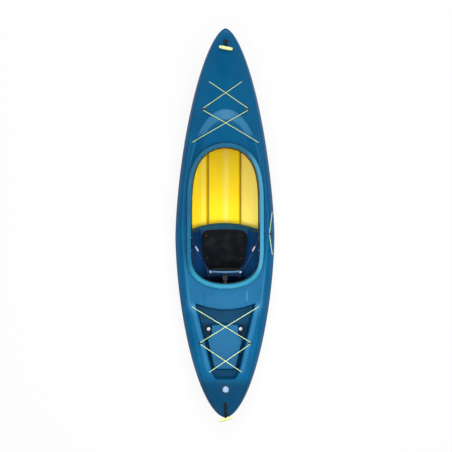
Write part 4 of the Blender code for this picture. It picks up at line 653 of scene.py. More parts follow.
def finishLook(tree, shader, colour, roughness, height, depth, settings):
    # colour, roughness and relief come from sockets; depth is the relief's height in metres
    bump = addNode(tree, "Bump", {"Height": height, "Strength": 1.0, "Distance": depth})
    settings = {"Base Color": colour, "Roughness": roughness, "Normal": bump.outputs[0], **settings}
    for key, value in settings.items():
        setInput(tree, shader, key, value)


def mouldedLook(name, colour, paler, rough=(0.36, 0.5), grain=700.0, depth=0.00006, scuffs=0.3, wear=0.4,
                dust=0.1, specular=0.4, worn=None, bands=(), paintedLightColours=None):
    # satin moulded plastic: cloudy colour, fine grain, scuffs, pale worn corners and a little dust. Each band
    # is (coordinates, axis, low, high, fade, colour); the pair of colours given at the end are the painted
    # shade and the painted highlight, between which the mesh's painted light runs
    look, tree, shader, place = startLook(name)
    spot = place.outputs["Object"]
    skin = useGroup(tree, grainGroup, spot, Grain=grain, Patches=4.0)
    marks = useGroup(tree, scuffGroup, spot, Amount=scuffs)["Mask"]
    edges = useGroup(tree, wearGroup, spot, Amount=wear)["Mask"]
    film = useGroup(tree, dustGroup, spot, Amount=dust)["Mask"]
    base = addMix(tree, skin["Cloud"], colour, paler)
    # painted shade and painted highlight, following the mesh's painted light
    if paintedLightColours:
        tone = addNode(tree, "Attribute", attribute_name="tone").outputs["Fac"]
        base = addMix(tree, addRange(tree, tone, 0.0, -1.0), base, paintedLightColours[0])
        base = addMix(tree, addRange(tree, tone, 0.0, 1.0), base, paintedLightColours[1])
    # bands of colour, which the finishes below use for painted shade and painted highlights
    for source, axis, low, high, fade, bandColour in bands:
        value = addNode(tree, "SeparateXYZ", {0: place.outputs[source]}).outputs[axis]
        mask = product(tree, addRange(tree, value, low - fade, low + fade),
                       addRange(tree, value, high + fade, high - fade))
        base = addMix(tree, mask, base, bandColour)
    base = addMix(tree, marks, base, worn or paler)
    base = addMix(tree, edges, base, worn or paler)
    base = addMix(tree, film, base, rgb(196, 190, 178))
    gloss = addMath(tree, "MULTIPLY_ADD", marks, 0.3)
    tree.links.new(addRange(tree, skin["Cloud"], 0.0, 1.0, *rough), gloss.node.inputs[2])
    finishLook(tree, shader, base, gloss, skin["Height"], depth, {"Specular IOR Level": specular})
    return look


def clothLook(name, colour, thread, threads=700.0, depth=0.0002):
    # woven cloth read straight down through the piece, with slubs and a sheen
    look, tree, shader, place = startLook(name)
    spot = place.outputs["Object"]
    cloth = useGroup(tree, weaveGroup, spot, Threads=threads)
    skin = useGroup(tree, grainGroup, spot, Grain=260.0, Patches=11.0)["Cloud"]
    film = useGroup(tree, dustGroup, spot, Amount=0.03)["Mask"]
    base = addMix(tree, cloth["Warp"], colour, thread)
    base = addMix(tree, product(tree, skin, 0.3), base, thread)
    base = addMix(tree, film, base, rgb(150, 145, 135))
    finishLook(tree, shader, base, addRange(tree, skin, 0.0, 1.0, 0.82, 0.95), cloth["Height"], depth,
               {"Sheen Weight": 0.06, "Sheen Roughness": 0.5, "Specular IOR Level": 0.1})
    return look


def yarnLook(name, colour, other, around, along, depth=0.0004, sheen=0.2):
    # braided cord or ribbed webbing on the piece's own map, whose second number is in metres along it
    look, tree, shader, place = startLook(name)
    yarn = useGroup(tree, braidGroup, place.outputs["UV"], Around=around, Along=along)["Height"]
    skin = useGroup(tree, grainGroup, place.outputs["Object"], Grain=500.0, Patches=30.0)["Cloud"]
    base = addMix(tree, addRange(tree, yarn, 0.70, 1.0), other, colour)
    base = addMix(tree, product(tree, skin, 0.35), base, other)
    finishLook(tree, shader, base, addRange(tree, skin, 0.0, 1.0, 0.6, 0.8), yarn, depth,
               {"Sheen Weight": sheen, "Specular IOR Level": 0.3})
    return look


def metalLook(name, colour, darker, rough=(0.22, 0.42)):
    # turned metal: fine brushed lines, darker where it has dulled
    look, tree, shader, place = startLook(name)
    spot = place.outputs["Object"]
    skin = useGroup(tree, grainGroup, spot, Grain=2200.0, Patches=90.0)
    marks = useGroup(tree, scuffGroup, spot, Across=1800.0, Along=300.0, Amount=0.6)["Mask"]
    base = addMix(tree, marks, addMix(tree, skin["Cloud"], colour, darker), darker)
    finishLook(tree, shader, base, addRange(tree, skin["Cloud"], 0.0, 1.0, *rough), skin["Height"], 0.00002,
               {"Metallic": 1.0})
    return look


# the pair of colours at the end are the painted shade and the painted highlight that the deck's painted light
# runs between
shellBlue = mouldedLook(
    "shellBlue", rgb(0, 78, 120), rgb(0, 86, 128), worn=rgb(40, 116, 154), scuffs=0.12, wear=0.08, dust=0.0,
    specular=0.10, rough=(0.26, 0.34), paintedLightColours=(rgb(0, 30, 52), rgb(78, 150, 190)))
rimBlue = mouldedLook(
    "rimBlue", rgb(14, 92, 126), rgb(22, 100, 134), worn=rgb(96, 152, 180), scuffs=0.2, wear=0.1, dust=0.0,
    specular=0.22, rough=(0.22, 0.30), bands=(
        # painted highlight on the starboard side
        ("Object", "X", 0.21, 1, 0.05, rgb(64, 142, 176)),
        # painted shade down the inner skirt
        ("UV", "Y", -1, 0.24, 0.06, rgb(0, 62, 92)),
        # painted shadow along the foot where the rim meets the deck
        ("UV", "Y", 0.90, 2, 0.03, rgb(0, 52, 84)),
        # painted highlight round the rear
        ("Object", "Y", -1, -0.36, 0.06, rgb(38, 130, 160))))
shellYellow = mouldedLook(
    "shellYellow", rgb(255, 228, 30), rgb(255, 222, 12), worn=rgb(232, 204, 80), scuffs=0.2, wear=0.05,
    dust=0.0, specular=0.25, bands=(
        # painted highlight down the middle of the floor
        ("Object", "X", 0.000, 0.030, 0.024, rgb(255, 236, 100)),
        # painted light: the starboard panel paler
        ("Object", "X", 0.142, 1, 0.020, rgb(250, 230, 104)),
        # painted highlight in a streak on the port panel
        ("Object", "X", -0.180, -0.150, 0.010, rgb(250, 230, 84)),
        # painted shade along the ridges inside the grooves
        ("Object", "X", 0.1215, 0.1345, 0.004, rgb(140, 116, 6)),
        ("Object", "X", -0.1345, -0.1215, 0.004, rgb(140, 116, 6)),
        # painted shade under the front deck
        ("Object", "Y", 0.610, 1.6, 0.05, rgb(236, 166, 8))))
seatNavy = mouldedLook(
    "seatNavy", rgb(6, 46, 88), rgb(10, 56, 100), worn=rgb(44, 92, 128), wear=0.3, dust=0.02, specular=0.12,
    rough=(0.34, 0.46), bands=(
        # painted highlight on the seat's front lip
        ("UV", "Y", 0.778, 2, 0.022, rgb(2, 66, 88)),
        # painted shade at the back, under the rear deck
        ("UV", "Y", -1, 0.19, 0.06, rgb(3, 14, 34))))
# its band is a painted highlight along the backrest's top roll
backNavy = mouldedLook(
    "backNavy", rgb(8, 24, 50), rgb(12, 30, 58), worn=rgb(90, 120, 146), wear=0.2, dust=0.0,
    rough=(0.28, 0.40), bands=(("UV", "Y", 0.945, 2, 0.015, rgb(62, 104, 144)),))
padCloth = clothLook("padCloth", rgb(6, 10, 14), rgb(13, 19, 25))
bindingCloth = clothLook("bindingCloth", rgb(9, 13, 17), rgb(20, 26, 31), threads=1100.0, depth=0.0001)
strapWeb = yarnLook("strapWeb", rgb(34, 37, 41), rgb(12, 14, 16), 9.0, 480.0, depth=0.0003, sheen=0.3)
cordYellow = yarnLook("cordYellow", rgb(222, 240, 190), rgb(172, 200, 132), 4.0, 230.0)
loopBlack = yarnLook("loopBlack", rgb(16, 19, 24), rgb(5, 6, 9), 4.0, 230.0, sheen=0.05)
foamWhite = mouldedLook(
    "foamWhite", rgb(232, 232, 226), rgb(214, 214, 206), grain=240.0, depth=0.0006, scuffs=0.0, wear=0.1,
    rough=(0.8, 0.92), specular=0.2)
rubberBlack = mouldedLook(
    "rubberBlack", rgb(17, 24, 30), rgb(28, 36, 43), worn=rgb(60, 66, 70), scuffs=0.1, wear=0.25,
    rough=(0.5, 0.66), specular=0.35)
nylonBlack = mouldedLook(
    "nylonBlack", rgb(16, 20, 24), rgb(26, 31, 36), worn=rgb(74, 80, 86), grain=1400.0, wear=0.45,
    rough=(0.34, 0.48))
nylonDark = mouldedLook(
    "nylonDark", rgb(58, 62, 68), rgb(70, 74, 80), worn=rgb(110, 114, 120), grain=1400.0, wear=0.45,
    rough=(0.34, 0.48))
threadGrey = clothLook("threadGrey", rgb(46, 52, 58), rgb(34, 40, 46), threads=2600.0, depth=0.00005)
# grey nylon, made pale enough to stand in also for the highlight on the buckle
nylonPaleAndHighlight = mouldedLook(
    "nylonPaleAndHighlight", rgb(190, 172, 176), rgb(172, 158, 164), worn=rgb(224, 214, 214), grain=1400.0)
plugPale = mouldedLook(
    "plugPale", rgb(150, 180, 216), rgb(164, 190, 220), worn=rgb(206, 220, 234), grain=1200.0,
    rough=(0.34, 0.48))
gripYellow = mouldedLook(
    "gripYellow", rgb(232, 240, 166), rgb(220, 230, 150), worn=rgb(232, 238, 206), grain=1200.0,
    rough=(0.4, 0.54))
boltSteel = metalLook("boltSteel", rgb(196, 198, 200), rgb(140, 142, 146))
studBronze = metalLook("studBronze", rgb(150, 84, 74), rgb(100, 52, 50), rough=(0.3, 0.5))
print("stage: finishes made")


# Hull. Rows run from stern to bow and columns from port to starboard.
def stationRows(marks, counts):
    # stations from stern to bow; the last 0.15 m to each tip close up towards it as the 2.4th power
    closing = 0.15 * (np.arange(15) / 14) ** 2.4
    middle = spaced([sternY + 0.15, *marks, bowY - 0.15], counts)
    return np.concatenate([sternY + closing[:-1], middle[:-1], bowY - closing[::-1]])


def columnsBetween(lines, counts):
    # columns evenly spaced between lines that run fore and aft, without the first line itself
    return [mix(a, b, np.linspace(0, 1, n + 1)[None, 1:]) for a, b, n in zip(lines, lines[1:], counts)]


def mirrored(columns):
    # starboard columns with the middle line and their mirror images to port
    right = np.concatenate(columns, axis=1)
    return np.concatenate([-right[:, ::-1], 0 * right[:, :1], right], axis=1)


def skinMesh(name, x, y, z, gap, flip):
    # a shell's surface with one more line along each side, a hair short of the seam
    edge = np.stack([x[:, -1:], y[:, -1:], seamHeight(y[:, -1:]) + gap], -1)
    grid = np.concatenate([edge * [-1, 1, 1], np.stack([x, y, z], -1), edge], axis=1)
    return gridMesh(name, grid, flip=flip)


def hullSurface(x, y):
    # the bottom, with a rounded groove each side of the flat panel and the skeg under the stern
    side, scale = np.abs(x), panelScale(y)
    flat = hullForm["keelHalf"] * scale
    fade = within(y, hullForm["flatStern"], 1.05, 0.12, 0.2)
    into = np.minimum(side - flat, flat + hullForm["grooveWidth"] * scale - side)
    groove = hullForm["grooveDepth"] * fade * ease(into / (0.009 * scale + 1e-6))
    heel = sternY + hullForm["skegInset"]
    share = clip01((heel + hullForm["skegLength"] - y) / hullForm["skegLength"])
    line = hullForm["skegClear"] * share + 0.03 * ease(1 - share / 0.12)
    depth = np.maximum(0.0, keelHeight(y) - line) * ease((y - heel) / 0.022)
    depth = depth * (y < heel + hullForm["skegLength"])
    half = np.maximum(np.minimum(hullForm["skegHalf"], 0.3 * halfBreadth(y)), 1e-6)
    return bottomHeight(x, y) + groove - depth * (1 - clip01(side / half) ** 1.5)


def makeHull():
    y = stationRows([hullForm["flatStern"], hullForm["flatBow"]], [56, 80, 76])[:, None]
    half, scale = halfBreadth(y), panelScale(y)
    flat = hullForm["keelHalf"] * scale
    groove = flat + hullForm["grooveWidth"] * scale
    columns = columnsBetween([0 * y, np.minimum(hullForm["skegHalf"], 0.3 * half), flat, groove], [4, 5, 12])
    columns.append(mix(groove, half, np.sin(np.linspace(0, np.pi / 2, 23))[None, 1:]))
    x = mirrored(columns)
    mesh = skinMesh("hullSkin", x, np.broadcast_to(y, x.shape), hullSurface(x, y), -hullForm["seamGap"], True)
    piece = newPiece("hullSkin", healed(mesh, closed=False), shellBlue, shellYellow)
    walled(piece, hullForm["wall"], inner=1, rim=1)
    cutAway(piece, scupperCutters(-0.1, 0.1))
    carried(piece, "hull", "blue_shell", "hull_shell")


drainForm = {"y": -1.3025, "z": 0.31984, "flange": 0.030, "flangeHigh": 0.004, "hole": 0.020, "bore": 0.0165,
             "neck": 0.012, "gasket": 0.0025, "plug": 0.0235, "cap": 0.011, "stem": 0.014, "gap": 0.0003,
             "pitch": 0.0024, "screws": 0.0262}


# Deck. The lines that run fore and aft are drawn in to the edges of the tank well and its raised floor,
# and the rows near the well's front follow its scalloped edge.
def deckGrid():
    marks = [wellEndY - 0.012, wellEndY + 0.026, wellY - 0.026, wellY + 0.006, openStern, openBow, 1.0]
    y = stationRows(marks, [14, 17, 104, 16, 14, 90, 42, 26])[:, None]
    half = halfBreadth(y)
    crease = half * (1 - sideShare(y))
    drawn = within(y, wellEndY - 0.10, wellY + 0.11, 0.08, 0.08)
    top, pad = wellHalf(y), padHalf(y)
    tight = [pad - 0.001, pad + wellForm["padRun"] + 0.001, top - wellForm["wallRun"] - 0.001, top]
    inner = [mix(crease * share, line, drawn) for share, line in zip((0.24, 0.44, 0.62, 0.80), tight)]
    x = mirrored(columnsBetween([0 * y, *inner, crease, half], [9, 4, 14, 9, 7, 13]))
    bow = clip01(1 - (x / top) ** 2) * within(y, wellY - 0.17, wellY + 0.15, 0.12, 0.12)
    return x, y - wellForm["scallop"] * bow


def deckPaintedLight(x, y):
    # painted light on the deck: how much paler or darker than its colour it is painted, with painted
    # highlights where raised forms would face the light, and painted shade in the tank well and over the
    # stern
    side = np.abs(x)
    sunk, raised, dish = wellShares(x, y)
    forward, inside = hoodShares(x, y)
    # painted shade in the tank well, deeper towards the raised floor and in each scupper's dish, less at the
    # well's rear end
    paintedWellShade = -0.50 - 0.30 * ease((padY + 0.03 - y) / 0.06) - 0.2 * dish
    paintedWellShade = paintedWellShade + 0.35 * ease((padEndY + 0.006 - y) / 0.02)
    # painted highlight on the raised floor
    tone = sunk * mix(paintedWellShade, 0.24, raised)
    # painted highlights on the hood's forward slope and along its edge
    tone += 0.48 * within(inside, 0, 0.165, 0.025, 0.05) * ease((forward - 0.60) / 0.12)
    tone += 0.35 * within(inside, 0, 0.05, 0.02, 0.02) * within(forward, 0, 0.66, 0.3, 0.1)
    # painted highlight on the band beside the tank well
    paintedFlangeHighlight = within(side - wellHalf(y), 0, 0.046, 0.01, 0.012) * (1 - sunk)
    tone += 0.30 * paintedFlangeHighlight * within(y, wellEndY, wellY + 0.02, 0.1, 0.06)
    # painted highlight on the side decks beside the rear half of the cockpit
    tone += 0.22 * ease((0.345 - side) / 0.06) * within(y, -0.74, -0.12, 0.10, 0.25) * (1 - sunk)
    # painted highlight along the pod's starboard edge
    paintedPodHighlight = np.exp(-((x - deckForm["podHalf"] - 0.004) / 0.006) ** 2)
    tone += 0.40 * paintedPodHighlight * within(y, -0.625, openStern - 0.045, 0.03, 0.02)
    # painted highlight along the crease of the side panels
    crease = np.exp(-((side - halfBreadth(y) * (1 - sideShare(y))) / 0.006) ** 2)
    tone += 0.22 * crease * ease((0.9 - np.abs(y)) / 0.3)
    # painted shade over the stern
    return tone - 0.50 * ease((-1.18 - y) / 0.10)


def makeDeck():
    x, y = deckGrid()
    mesh = skinMesh("deckSkin", x, y, deckSurface(x, y), hullForm["seamGap"], False)
    # the deck's painted light, kept on its points for the shell's finish
    tone = mesh.attributes.new("tone", "FLOAT", "POINT")
    tone.data.foreach_set("value", np.pad(deckPaintedLight(x, y), ((0, 0), (1, 1))).astype(np.float32).ravel())
    piece = newPiece("deckSkin", healed(mesh, closed=False), shellBlue, shellYellow)
    walled(piece, hullForm["wall"], inner=1, rim=0)
    spots, normals = openingFrames()
    edge = spots + normals * (hullForm["wall"] + rimForm["deckCut"])
    drain = uprightPrism("drainHole", circle(0, drainForm["y"], drainForm["hole"]), 0.2, 0.4)
    cutAway(piece, [uprightPrism("cockpitHole", edge[::-1], 0.1, 0.6), *scupperCutters(0.1, 0.3), drain])
    carried(piece, "hull", "blue_shell", "deck_shell")


def openingFrames():
    # evenly spaced points round the cockpit opening and their outward normals, clockwise from the front
    angle = np.linspace(0, 2 * np.pi, 5761)
    forward = np.cos(angle)
    length = np.where(forward > 0, rimForm["front"], rimForm["rear"])
    power = np.where(forward > 0, rimForm["frontPower"], rimForm["rearPower"])
    share = np.abs(forward) ** (2 / power)
    line = np.column_stack([rimForm["half"] * np.sin(angle),
                            rimForm["middle"] + np.sign(forward) * share * length])
    slope = np.sign(forward) * power * share ** (power - 1) / length
    normals = unit(np.column_stack([2 * line[:, 0] / rimForm["half"] ** 2, slope]))
    rows = evenly(np.hstack([line, normals]), runOf(line), rimForm["steps"])
    return rows[:, :2], unit(rows[:, 2:])


def rimBase(spots, normals):
    # the height that the rim stands on: mean of the deck at its cut edge and under the crown
    heights = [plainDeck(*(spots + normals * out).T) for out in (0.0075, rimForm["width"] / 2)]
    return (heights[0] + heights[1]) / 2


def rimGrid(spots, normals, base, outs, ups):
    # points round the opening, given by how far they lie out from its edge and above the rim's base
    flat = spots[:, None] + normals[:, None] * outs[..., None]
    return np.concatenate([flat, (base[:, None] + ups)[..., None]], -1)


def makeRim():
    # skirt down inside, rolled crown, and a quarter ellipse down to a foot that lands on the deck
    spots, normals = openingFrames()
    base = rimBase(spots, normals)
    inner = throughPoints([(-0.006, -0.042), (-0.003, -0.022), (-0.0005, -0.004), (0.0008, 0.010),
                           (0.0038, 0.0168), (0.0100, 0.0198), (0.0190, 0.0207), (0.0300, 0.0190)], 5)
    foot = np.max([plainDeck(*(spots + normals * out).T) for out in (0.034, 0.038)], axis=0) + 0.0004 - base
    turn = np.linspace(0, np.pi / 2, 12)[None, 1:]
    crownOut, crownUp = inner[-1]
    out = crownOut + (rimForm["width"] - crownOut) * np.sin(turn)
    up = foot[:, None] + (crownUp - foot[:, None]) * np.cos(turn)
    outs, ups = (np.broadcast_to(column, (len(spots), len(inner))) for column in inner.T)
    outs = np.concatenate([outs, np.repeat(out, len(spots), 0)], 1)
    ups = np.concatenate([ups, up], 1)
    grid = rimGrid(spots, normals, base, outs, ups)
    uv = np.stack([0 * outs, (outs + rimForm["lean"]) / (rimForm["width"] + rimForm["lean"])], -1)
    piece = newPiece("cockpitRim", gridMesh("cockpitRim", grid, uv, wrapRows=True, flip=True), rimBlue)
    walled(piece, hullForm["wall"])
    carried(settled(piece), "hull", "blue_shell", "cockpit_coaming")


trimForm = {"wall": 0.0028, "grip": 0.011, "gap": 0.0003}


def makeTrim():
    # rubber U on the skirt's lower edge: outline of the U in the skirt's own directions, rounded below
    spots, normals = openingFrames()
    base = rimBase(spots, normals)
    bottom = np.array([-rimForm["lean"], -rimForm["skirt"]])
    down = np.array([-rimForm["lean"], -rimForm["skirt"] + 0.002])
    down /= np.linalg.norm(down)
    across = np.array([-down[1], down[0]])
    wall, gap, grip = trimForm["wall"], trimForm["gap"], trimForm["grip"]
    middle, half = hullForm["wall"] / 2, hullForm["wall"] / 2 + gap + wall
    turn = np.linspace(0, np.pi, 9)
    outer = np.column_stack([middle - half * np.cos(turn), (gap + wall) * np.sin(turn) ** 0.8])
    leg = [(half, -grip), (half - 0.5 * wall, -grip - 0.0006), (half - wall, -grip), (half - wall, gap)]
    line = [*outer, *((middle + a, d) for a, d in leg), *((middle - a, d) for a, d in leg[::-1])]
    line = np.array([bottom + across * a + down * d for a, d in line])
    grid = rimGrid(spots, normals, base, line[None, :, 0], line[None, :, 1])
    mesh = healed(gridMesh("rimEdging", grid, wrapRows=True, wrapCols=True))
    smoothShade(mesh, 50)
    carried(newPiece("rimEdging", mesh, rubberBlack), "hull", "black_rubber", "coaming_trim")


makeHull()
makeDeck()
makeRim()
makeTrim()
print("stage: hull, deck and rim made")


# Shapes that several pieces share.
def openHalf(y):
    # half width of the cockpit opening
    ahead = y > rimForm["middle"]
    share = np.abs(y - rimForm["middle"]) / np.where(ahead, rimForm["front"], rimForm["rear"])
    power = np.where(ahead, rimForm["frontPower"], rimForm["rearPower"])
    return rimForm["half"] * np.sqrt(np.maximum(0.0, 1 - clip01(share) ** power))


def fanned(count, first, flip=False):
    # a cap over one row of points, as a single face
    index = np.arange(count)[None, :] + first
    return index[:, ::-1] if flip else index


def profileAlong(name, path, sideways, upward, profile, ring=False, angle=35):
    # a closed outline of (across, up) points set at every station of a path
    grid = path[:, None] + sideways[:, None] * profile[:, :1] + upward[:, None] * profile[:, 1:]
    rows, cols = grid.shape[:2]
    faces = [gridFaces(rows, cols, wrapRows=ring, wrapCols=True)]
    if not ring:
        faces += [fanned(cols, 0), fanned(cols, (rows - 1) * cols, flip=True)]
    around = np.abs(np.linspace(-1, 1, cols, endpoint=False))
    uv = stacked(around[None, :], runOf(path)[:, None])
    return healed(meshOf(name, grid, faces, uv=uv, angle=angle), 1e-7)


def alongPath(path, ring=False):
    if ring:
        return unit(np.roll(path, -1, axis=0) - np.roll(path, 1, axis=0))
    return unit(np.gradient(path, axis=0))


def carriedFrames(path, start, ring=False):
    # sideways directions that turn as little as they can along the path
    ahead = alongPath(path, ring)
    sides, side = [], np.asarray(start, float)
    for step in ahead:
        side = unit(side - step * np.dot(side, step))
        sides.append(side)
    return np.array(sides), np.cross(ahead, np.array(sides))


def roundTube(name, path, radius, sides, start, ring=False):
    sideways, upward = carriedFrames(path, start, ring)
    return profileAlong(name, path, sideways, upward, oval(turns(sides), radius), ring=ring, angle=80)


def webbingStrap(name, path, across):
    # flat strap with rounded edges, its width along "across"
    width, thick = strapForm["width"], strapForm["thick"]
    path, across = throughPoints(path, 7), np.asarray(across, float)
    ahead = alongPath(path)
    sideways = unit(across - ahead * (ahead @ across)[:, None])
    edge = oval(np.linspace(-np.pi / 2, np.pi / 2, 5), thick / 2) + ((width - thick) / 2, 0)
    flat = np.linspace(0.8, -0.8, 7)[:, None] * [[width / 2, 0]] + [[0, thick / 2]]
    outline = np.concatenate([edge, flat, -edge, -flat])
    return profileAlong(name, path, sideways, np.cross(ahead, sideways), outline, angle=50)


def turnedMesh(name, profile, spot, axis, steps=32):
    # a profile of (radius, height) points turned round an axis through a spot
    profile, axis = np.asarray(profile, float), unit(np.asarray(axis, float))
    side = unit(np.cross(axis, [0.0, 1.0, 0.01] if abs(axis[1]) < 0.9 else [1.0, 0.0, 0.01]))
    turn = turns(steps)[:, None]
    rounds = side * np.cos(turn) + np.cross(axis, side) * np.sin(turn)
    grid = np.asarray(spot, float) + profile[:, None, :1] * rounds + profile[:, None, 1:] * axis
    return healed(gridMesh(name, grid, angle=30, wrapCols=True))


def roundedOutline(width, height, radius, steps=5):
    # rectangle with rounded corners, counterclockwise
    turn = np.linspace(0, np.pi / 2, steps)
    corners = []
    for quarter, (sx, sy) in enumerate(((1, 1), (-1, 1), (-1, -1), (1, -1))):
        middle = (sx * (width / 2 - radius), sy * (height / 2 - radius))
        corners.append(middle + oval(turn + quarter * np.pi / 2, radius))
    return np.concatenate(corners)


def slab(name, outline, depth, spot, sideways, upward, hole=None, bevel=0.0):
    # an outline given depth along the third direction, its edges rounded; a hole has as many points
    sideways, upward = np.asarray(sideways, float), np.asarray(upward, float)
    rings = [np.asarray(ring, float) for ring in (outline, hole) if ring is not None]
    out = np.cross(sideways, upward) * depth / 2
    levels = [np.asarray(spot) + ring[:, :1] * sideways + ring[:, 1:] * upward + level
              for ring in rings for level in (-out, out)]
    count = len(outline)
    index = np.arange(count)
    after = (index + 1) % count

    def band(a, b):
        return np.stack([a * count + index, a * count + after, b * count + after, b * count + index], -1)

    if hole is None:
        faces = [band(0, 1), fanned(count, 0, flip=True), fanned(count, count)]
    else:
        faces = [band(0, 1), band(3, 2), band(2, 0), band(1, 3)]
    mesh = healed(meshOf(name, np.concatenate(levels), faces, angle=30))
    if not bevel:
        return mesh
    piece = newPiece(name, mesh)
    bevelled(piece, bevel, 40)
    return bareMesh(piece, 40)


def joinedMesh(name, meshes, angle=35):
    # several meshes as one, each with the number of its material kept
    points, sizes, corners, uvs, looks, first = [], [], [], [], [], 0
    for mesh in meshes:
        points.append(readOut(mesh.vertices, "co", 3, np.float32))
        sizes.append(readOut(mesh.polygons, "loop_total"))
        corners.append(readOut(mesh.loops, "vertex_index") + first)
        looks.append(readOut(mesh.polygons, "material_index"))
        uvs.append(readOut(mesh.uv_layers[0].data, "uv", 2, np.float32) if mesh.uv_layers
                   else np.zeros((len(mesh.loops), 2)))
        first += len(mesh.vertices)
    arrays = [np.concatenate(rows) for rows in (points, sizes, corners, uvs)]
    whole = filledMesh(name, *arrays, angle, np.concatenate(looks))
    for mesh in meshes:
        if not mesh.users:
            bpy.data.meshes.remove(mesh)
    return whole


def fitted(name, parts, looks, body, slotName, *nodes):
    # parts joined as one piece with its looks, riding a body
    return carried(newPiece(name, joinedMesh(name, parts), *looks), body, slotName, *nodes)


def bars(rows, depth, middle, sideways, upward, bevel):
    # rounded bars in one plane; each row is its width, height, corner radius and place
    return [slab("bar", roundedOutline(*row[:3]), depth, middle + sideways * row[3] + upward * row[4],
                 sideways, upward, bevel=bevel) for row in rows]


def camel(node):
    words = node.split("_")
    return words[0] + "".join(word.capitalize() for word in words[1:])


def standIn(node, mesh, look, body, slotName):
    # the one piece that takes a node's place, named after it
    return carried(newPiece(camel(node), mesh, look), body, slotName, node)


def numbered(mesh, number):
    # every face takes the material of that number
    mesh.polygons.foreach_set("material_index", np.full(len(mesh.polygons), number, np.int32))
    return mesh


def copies(name, shape, spots, aheads, ups):
    # one small closed shape repeated at many places; its x lies along "ahead" and its z along "up"
    points, faces = shape
    aheads, ups = (np.broadcast_to(np.asarray(rows, float), spots.shape) for rows in (aheads, ups))
    aheads = unit(aheads)
    sides = unit(np.cross(ups, aheads))
    frames = np.stack([aheads, sides, np.cross(aheads, sides)], 1)
    every = spots[:, None] + np.einsum("pk,nkj->npj", points, frames)
    index = faces[None] + (np.arange(len(spots)) * len(points))[:, None, None]
    return meshOf(name, every, [index.reshape(-1, faces.shape[1])])


def bead(length, half, rings=5, power=2.5):
    # a small rounded bar along x, closed at both ends
    run = np.linspace(-1, 1, rings + 2)[:, None]
    size = half * np.maximum(1 - np.abs(run) ** power, 0.0) ** (1 / power)
    turn = turns(6)
    grid = stacked(run * length / 2, size * np.cos(turn), size * np.sin(turn))
    return grid.reshape(-1, 3), gridFaces(rings + 2, 6, wrapCols=True, flip=True)


# Seat: control points in rows from back to front, smoothed both ways by clamped quadratic splines.
seatForm = {
    "rearHalf": 0.185,
    "over": 0.002,            # how far the wings reach beyond the opening
    "low": 0.050,             # height of the cushion's rear edge, and the floor's slope
    "slope": 0.06,
    "wingZ": 0.175,
    "wall": 0.004,
    "margin": 0.007,          # from the cushion to the bucket's side
    "tabs": (-0.24, -0.09),
    "boltDrop": 0.018,
    "hinge": (-0.3765, 0.085),
    "lugX": 0.105,
    "lugThick": 0.008,
    "lugRadius": 0.012,
}
padForm = {
    "front": -0.054,
    "length": 0.308,
    "frontHalf": 0.183,
    "rearHalf": 0.128,
    "taper": 2.5,
    "height": 0.022,
    "corners": (0.060, 0.024),
    "studs": ((0.143, -0.100), (0.133, -0.277)),
}
# station, lift of the floor, share of the side's height, and how far the ends of the row lie aft
seatRows = np.array([
    (-0.476, 0.090, 1.0, 0.0), (-0.460, 0.075, 1.0, 0.0), (-0.434, 0.010, 1.0, 0.0), (-0.416, 0.0, 1.0, 0.0),
    (-0.320, 0.0, 1.0, 0.0), (-0.240, 0.0, 1.0, 0.0), (-0.165, 0.0, 1.0, 0.0), (-0.090, 0.0, 1.0, 0.0),
    (-0.052, 0.0, 0.90, 0.0162), (-0.024, 0.004, 0.55, 0.054), (-0.006, 0.0, 0.35, 0.054),
    (0.0, -0.028, 0.25, 0.054),
])


def seatPlane(y):
    return seatForm["low"] + seatForm["slope"] * (y - padForm["front"] + padForm["length"])


def cushionHalf(y):
    share = clip01((padForm["front"] - y) / padForm["length"]) ** padForm["taper"]
    return mix(padForm["frontHalf"], padForm["rearHalf"], share)


def boltHeight(y):
    spot = np.array([[float(openHalf(y)), y]])
    return float(rimBase(spot, np.array([[1.0, 0.0]]))[0]) - seatForm["boltDrop"]


def splineWeights(count, steps):
    # how much each of a row of control points counts at evenly spaced places of a clamped quadratic spline
    knots = np.concatenate([[0, 0], np.arange(count - 1), [count - 2, count - 2]]).astype(float)
    place = np.linspace(0, count - 2 - 1e-9, steps + 1)[:, None]
    weights = ((place >= knots[:-1]) & (place < knots[1:])).astype(float)
    for degree in (1, 2):
        up = (place - knots[:-degree - 1]) / np.maximum(knots[degree:-1] - knots[:-degree - 1], 1e-9)
        down = (knots[degree + 1:] - place) / np.maximum(knots[degree + 1:] - knots[1:-degree], 1e-9)
        weights = up * weights[:, :-1] + down * weights[:, 1:]
    return weights


def seatControls():
    y, lift, wall, arced = seatRows.T[..., None]
    bucket = cushionHalf(y) + seatForm["margin"]
    edge = np.maximum(openHalf(y) + seatForm["over"], seatForm["rearHalf"])
    x = np.concatenate([0 * y, bucket / 2, bucket - 0.014, bucket + 0.003, bucket + 0.018,
                        (bucket + edge) / 2 + 0.016, edge - 0.006, edge], axis=1)
    back = y - arced * (x / edge) ** 2
    floor = seatPlane(back) + lift
    high = np.array([0, 0, 0, 0, 0.10, 0.14, seatForm["wingZ"] - 0.004, seatForm["wingZ"]])
    z = np.where(high > 0, mix(floor, high, wall), floor)
    right = np.stack([x, back, z], -1)
    return np.concatenate([right[:, :0:-1] * [-1, 1, 1], right], axis=1)


def makeSeat():
    controls = seatControls()
    along, across = splineWeights(len(controls), 150), splineWeights(controls.shape[1], 126)
    grid = np.einsum("ai,bj,ijk->abk", along, across, controls)
    shares = np.linspace(0, 1, grid.shape[1])[None, :], np.linspace(0, 1, len(grid))[:, None]
    pan = newPiece("seatPan", gridMesh("seatPan", grid, stacked(*shares), flip=True))
    walled(pan, seatForm["wall"])
    parts = [bareMesh(pan)] + [part(side) for side in (-1, 1) for part in (seatTab, seatLug)]
    fitted("seatPan", parts, [seatNavy], "hull", "navy_plastic", "seat_pan")


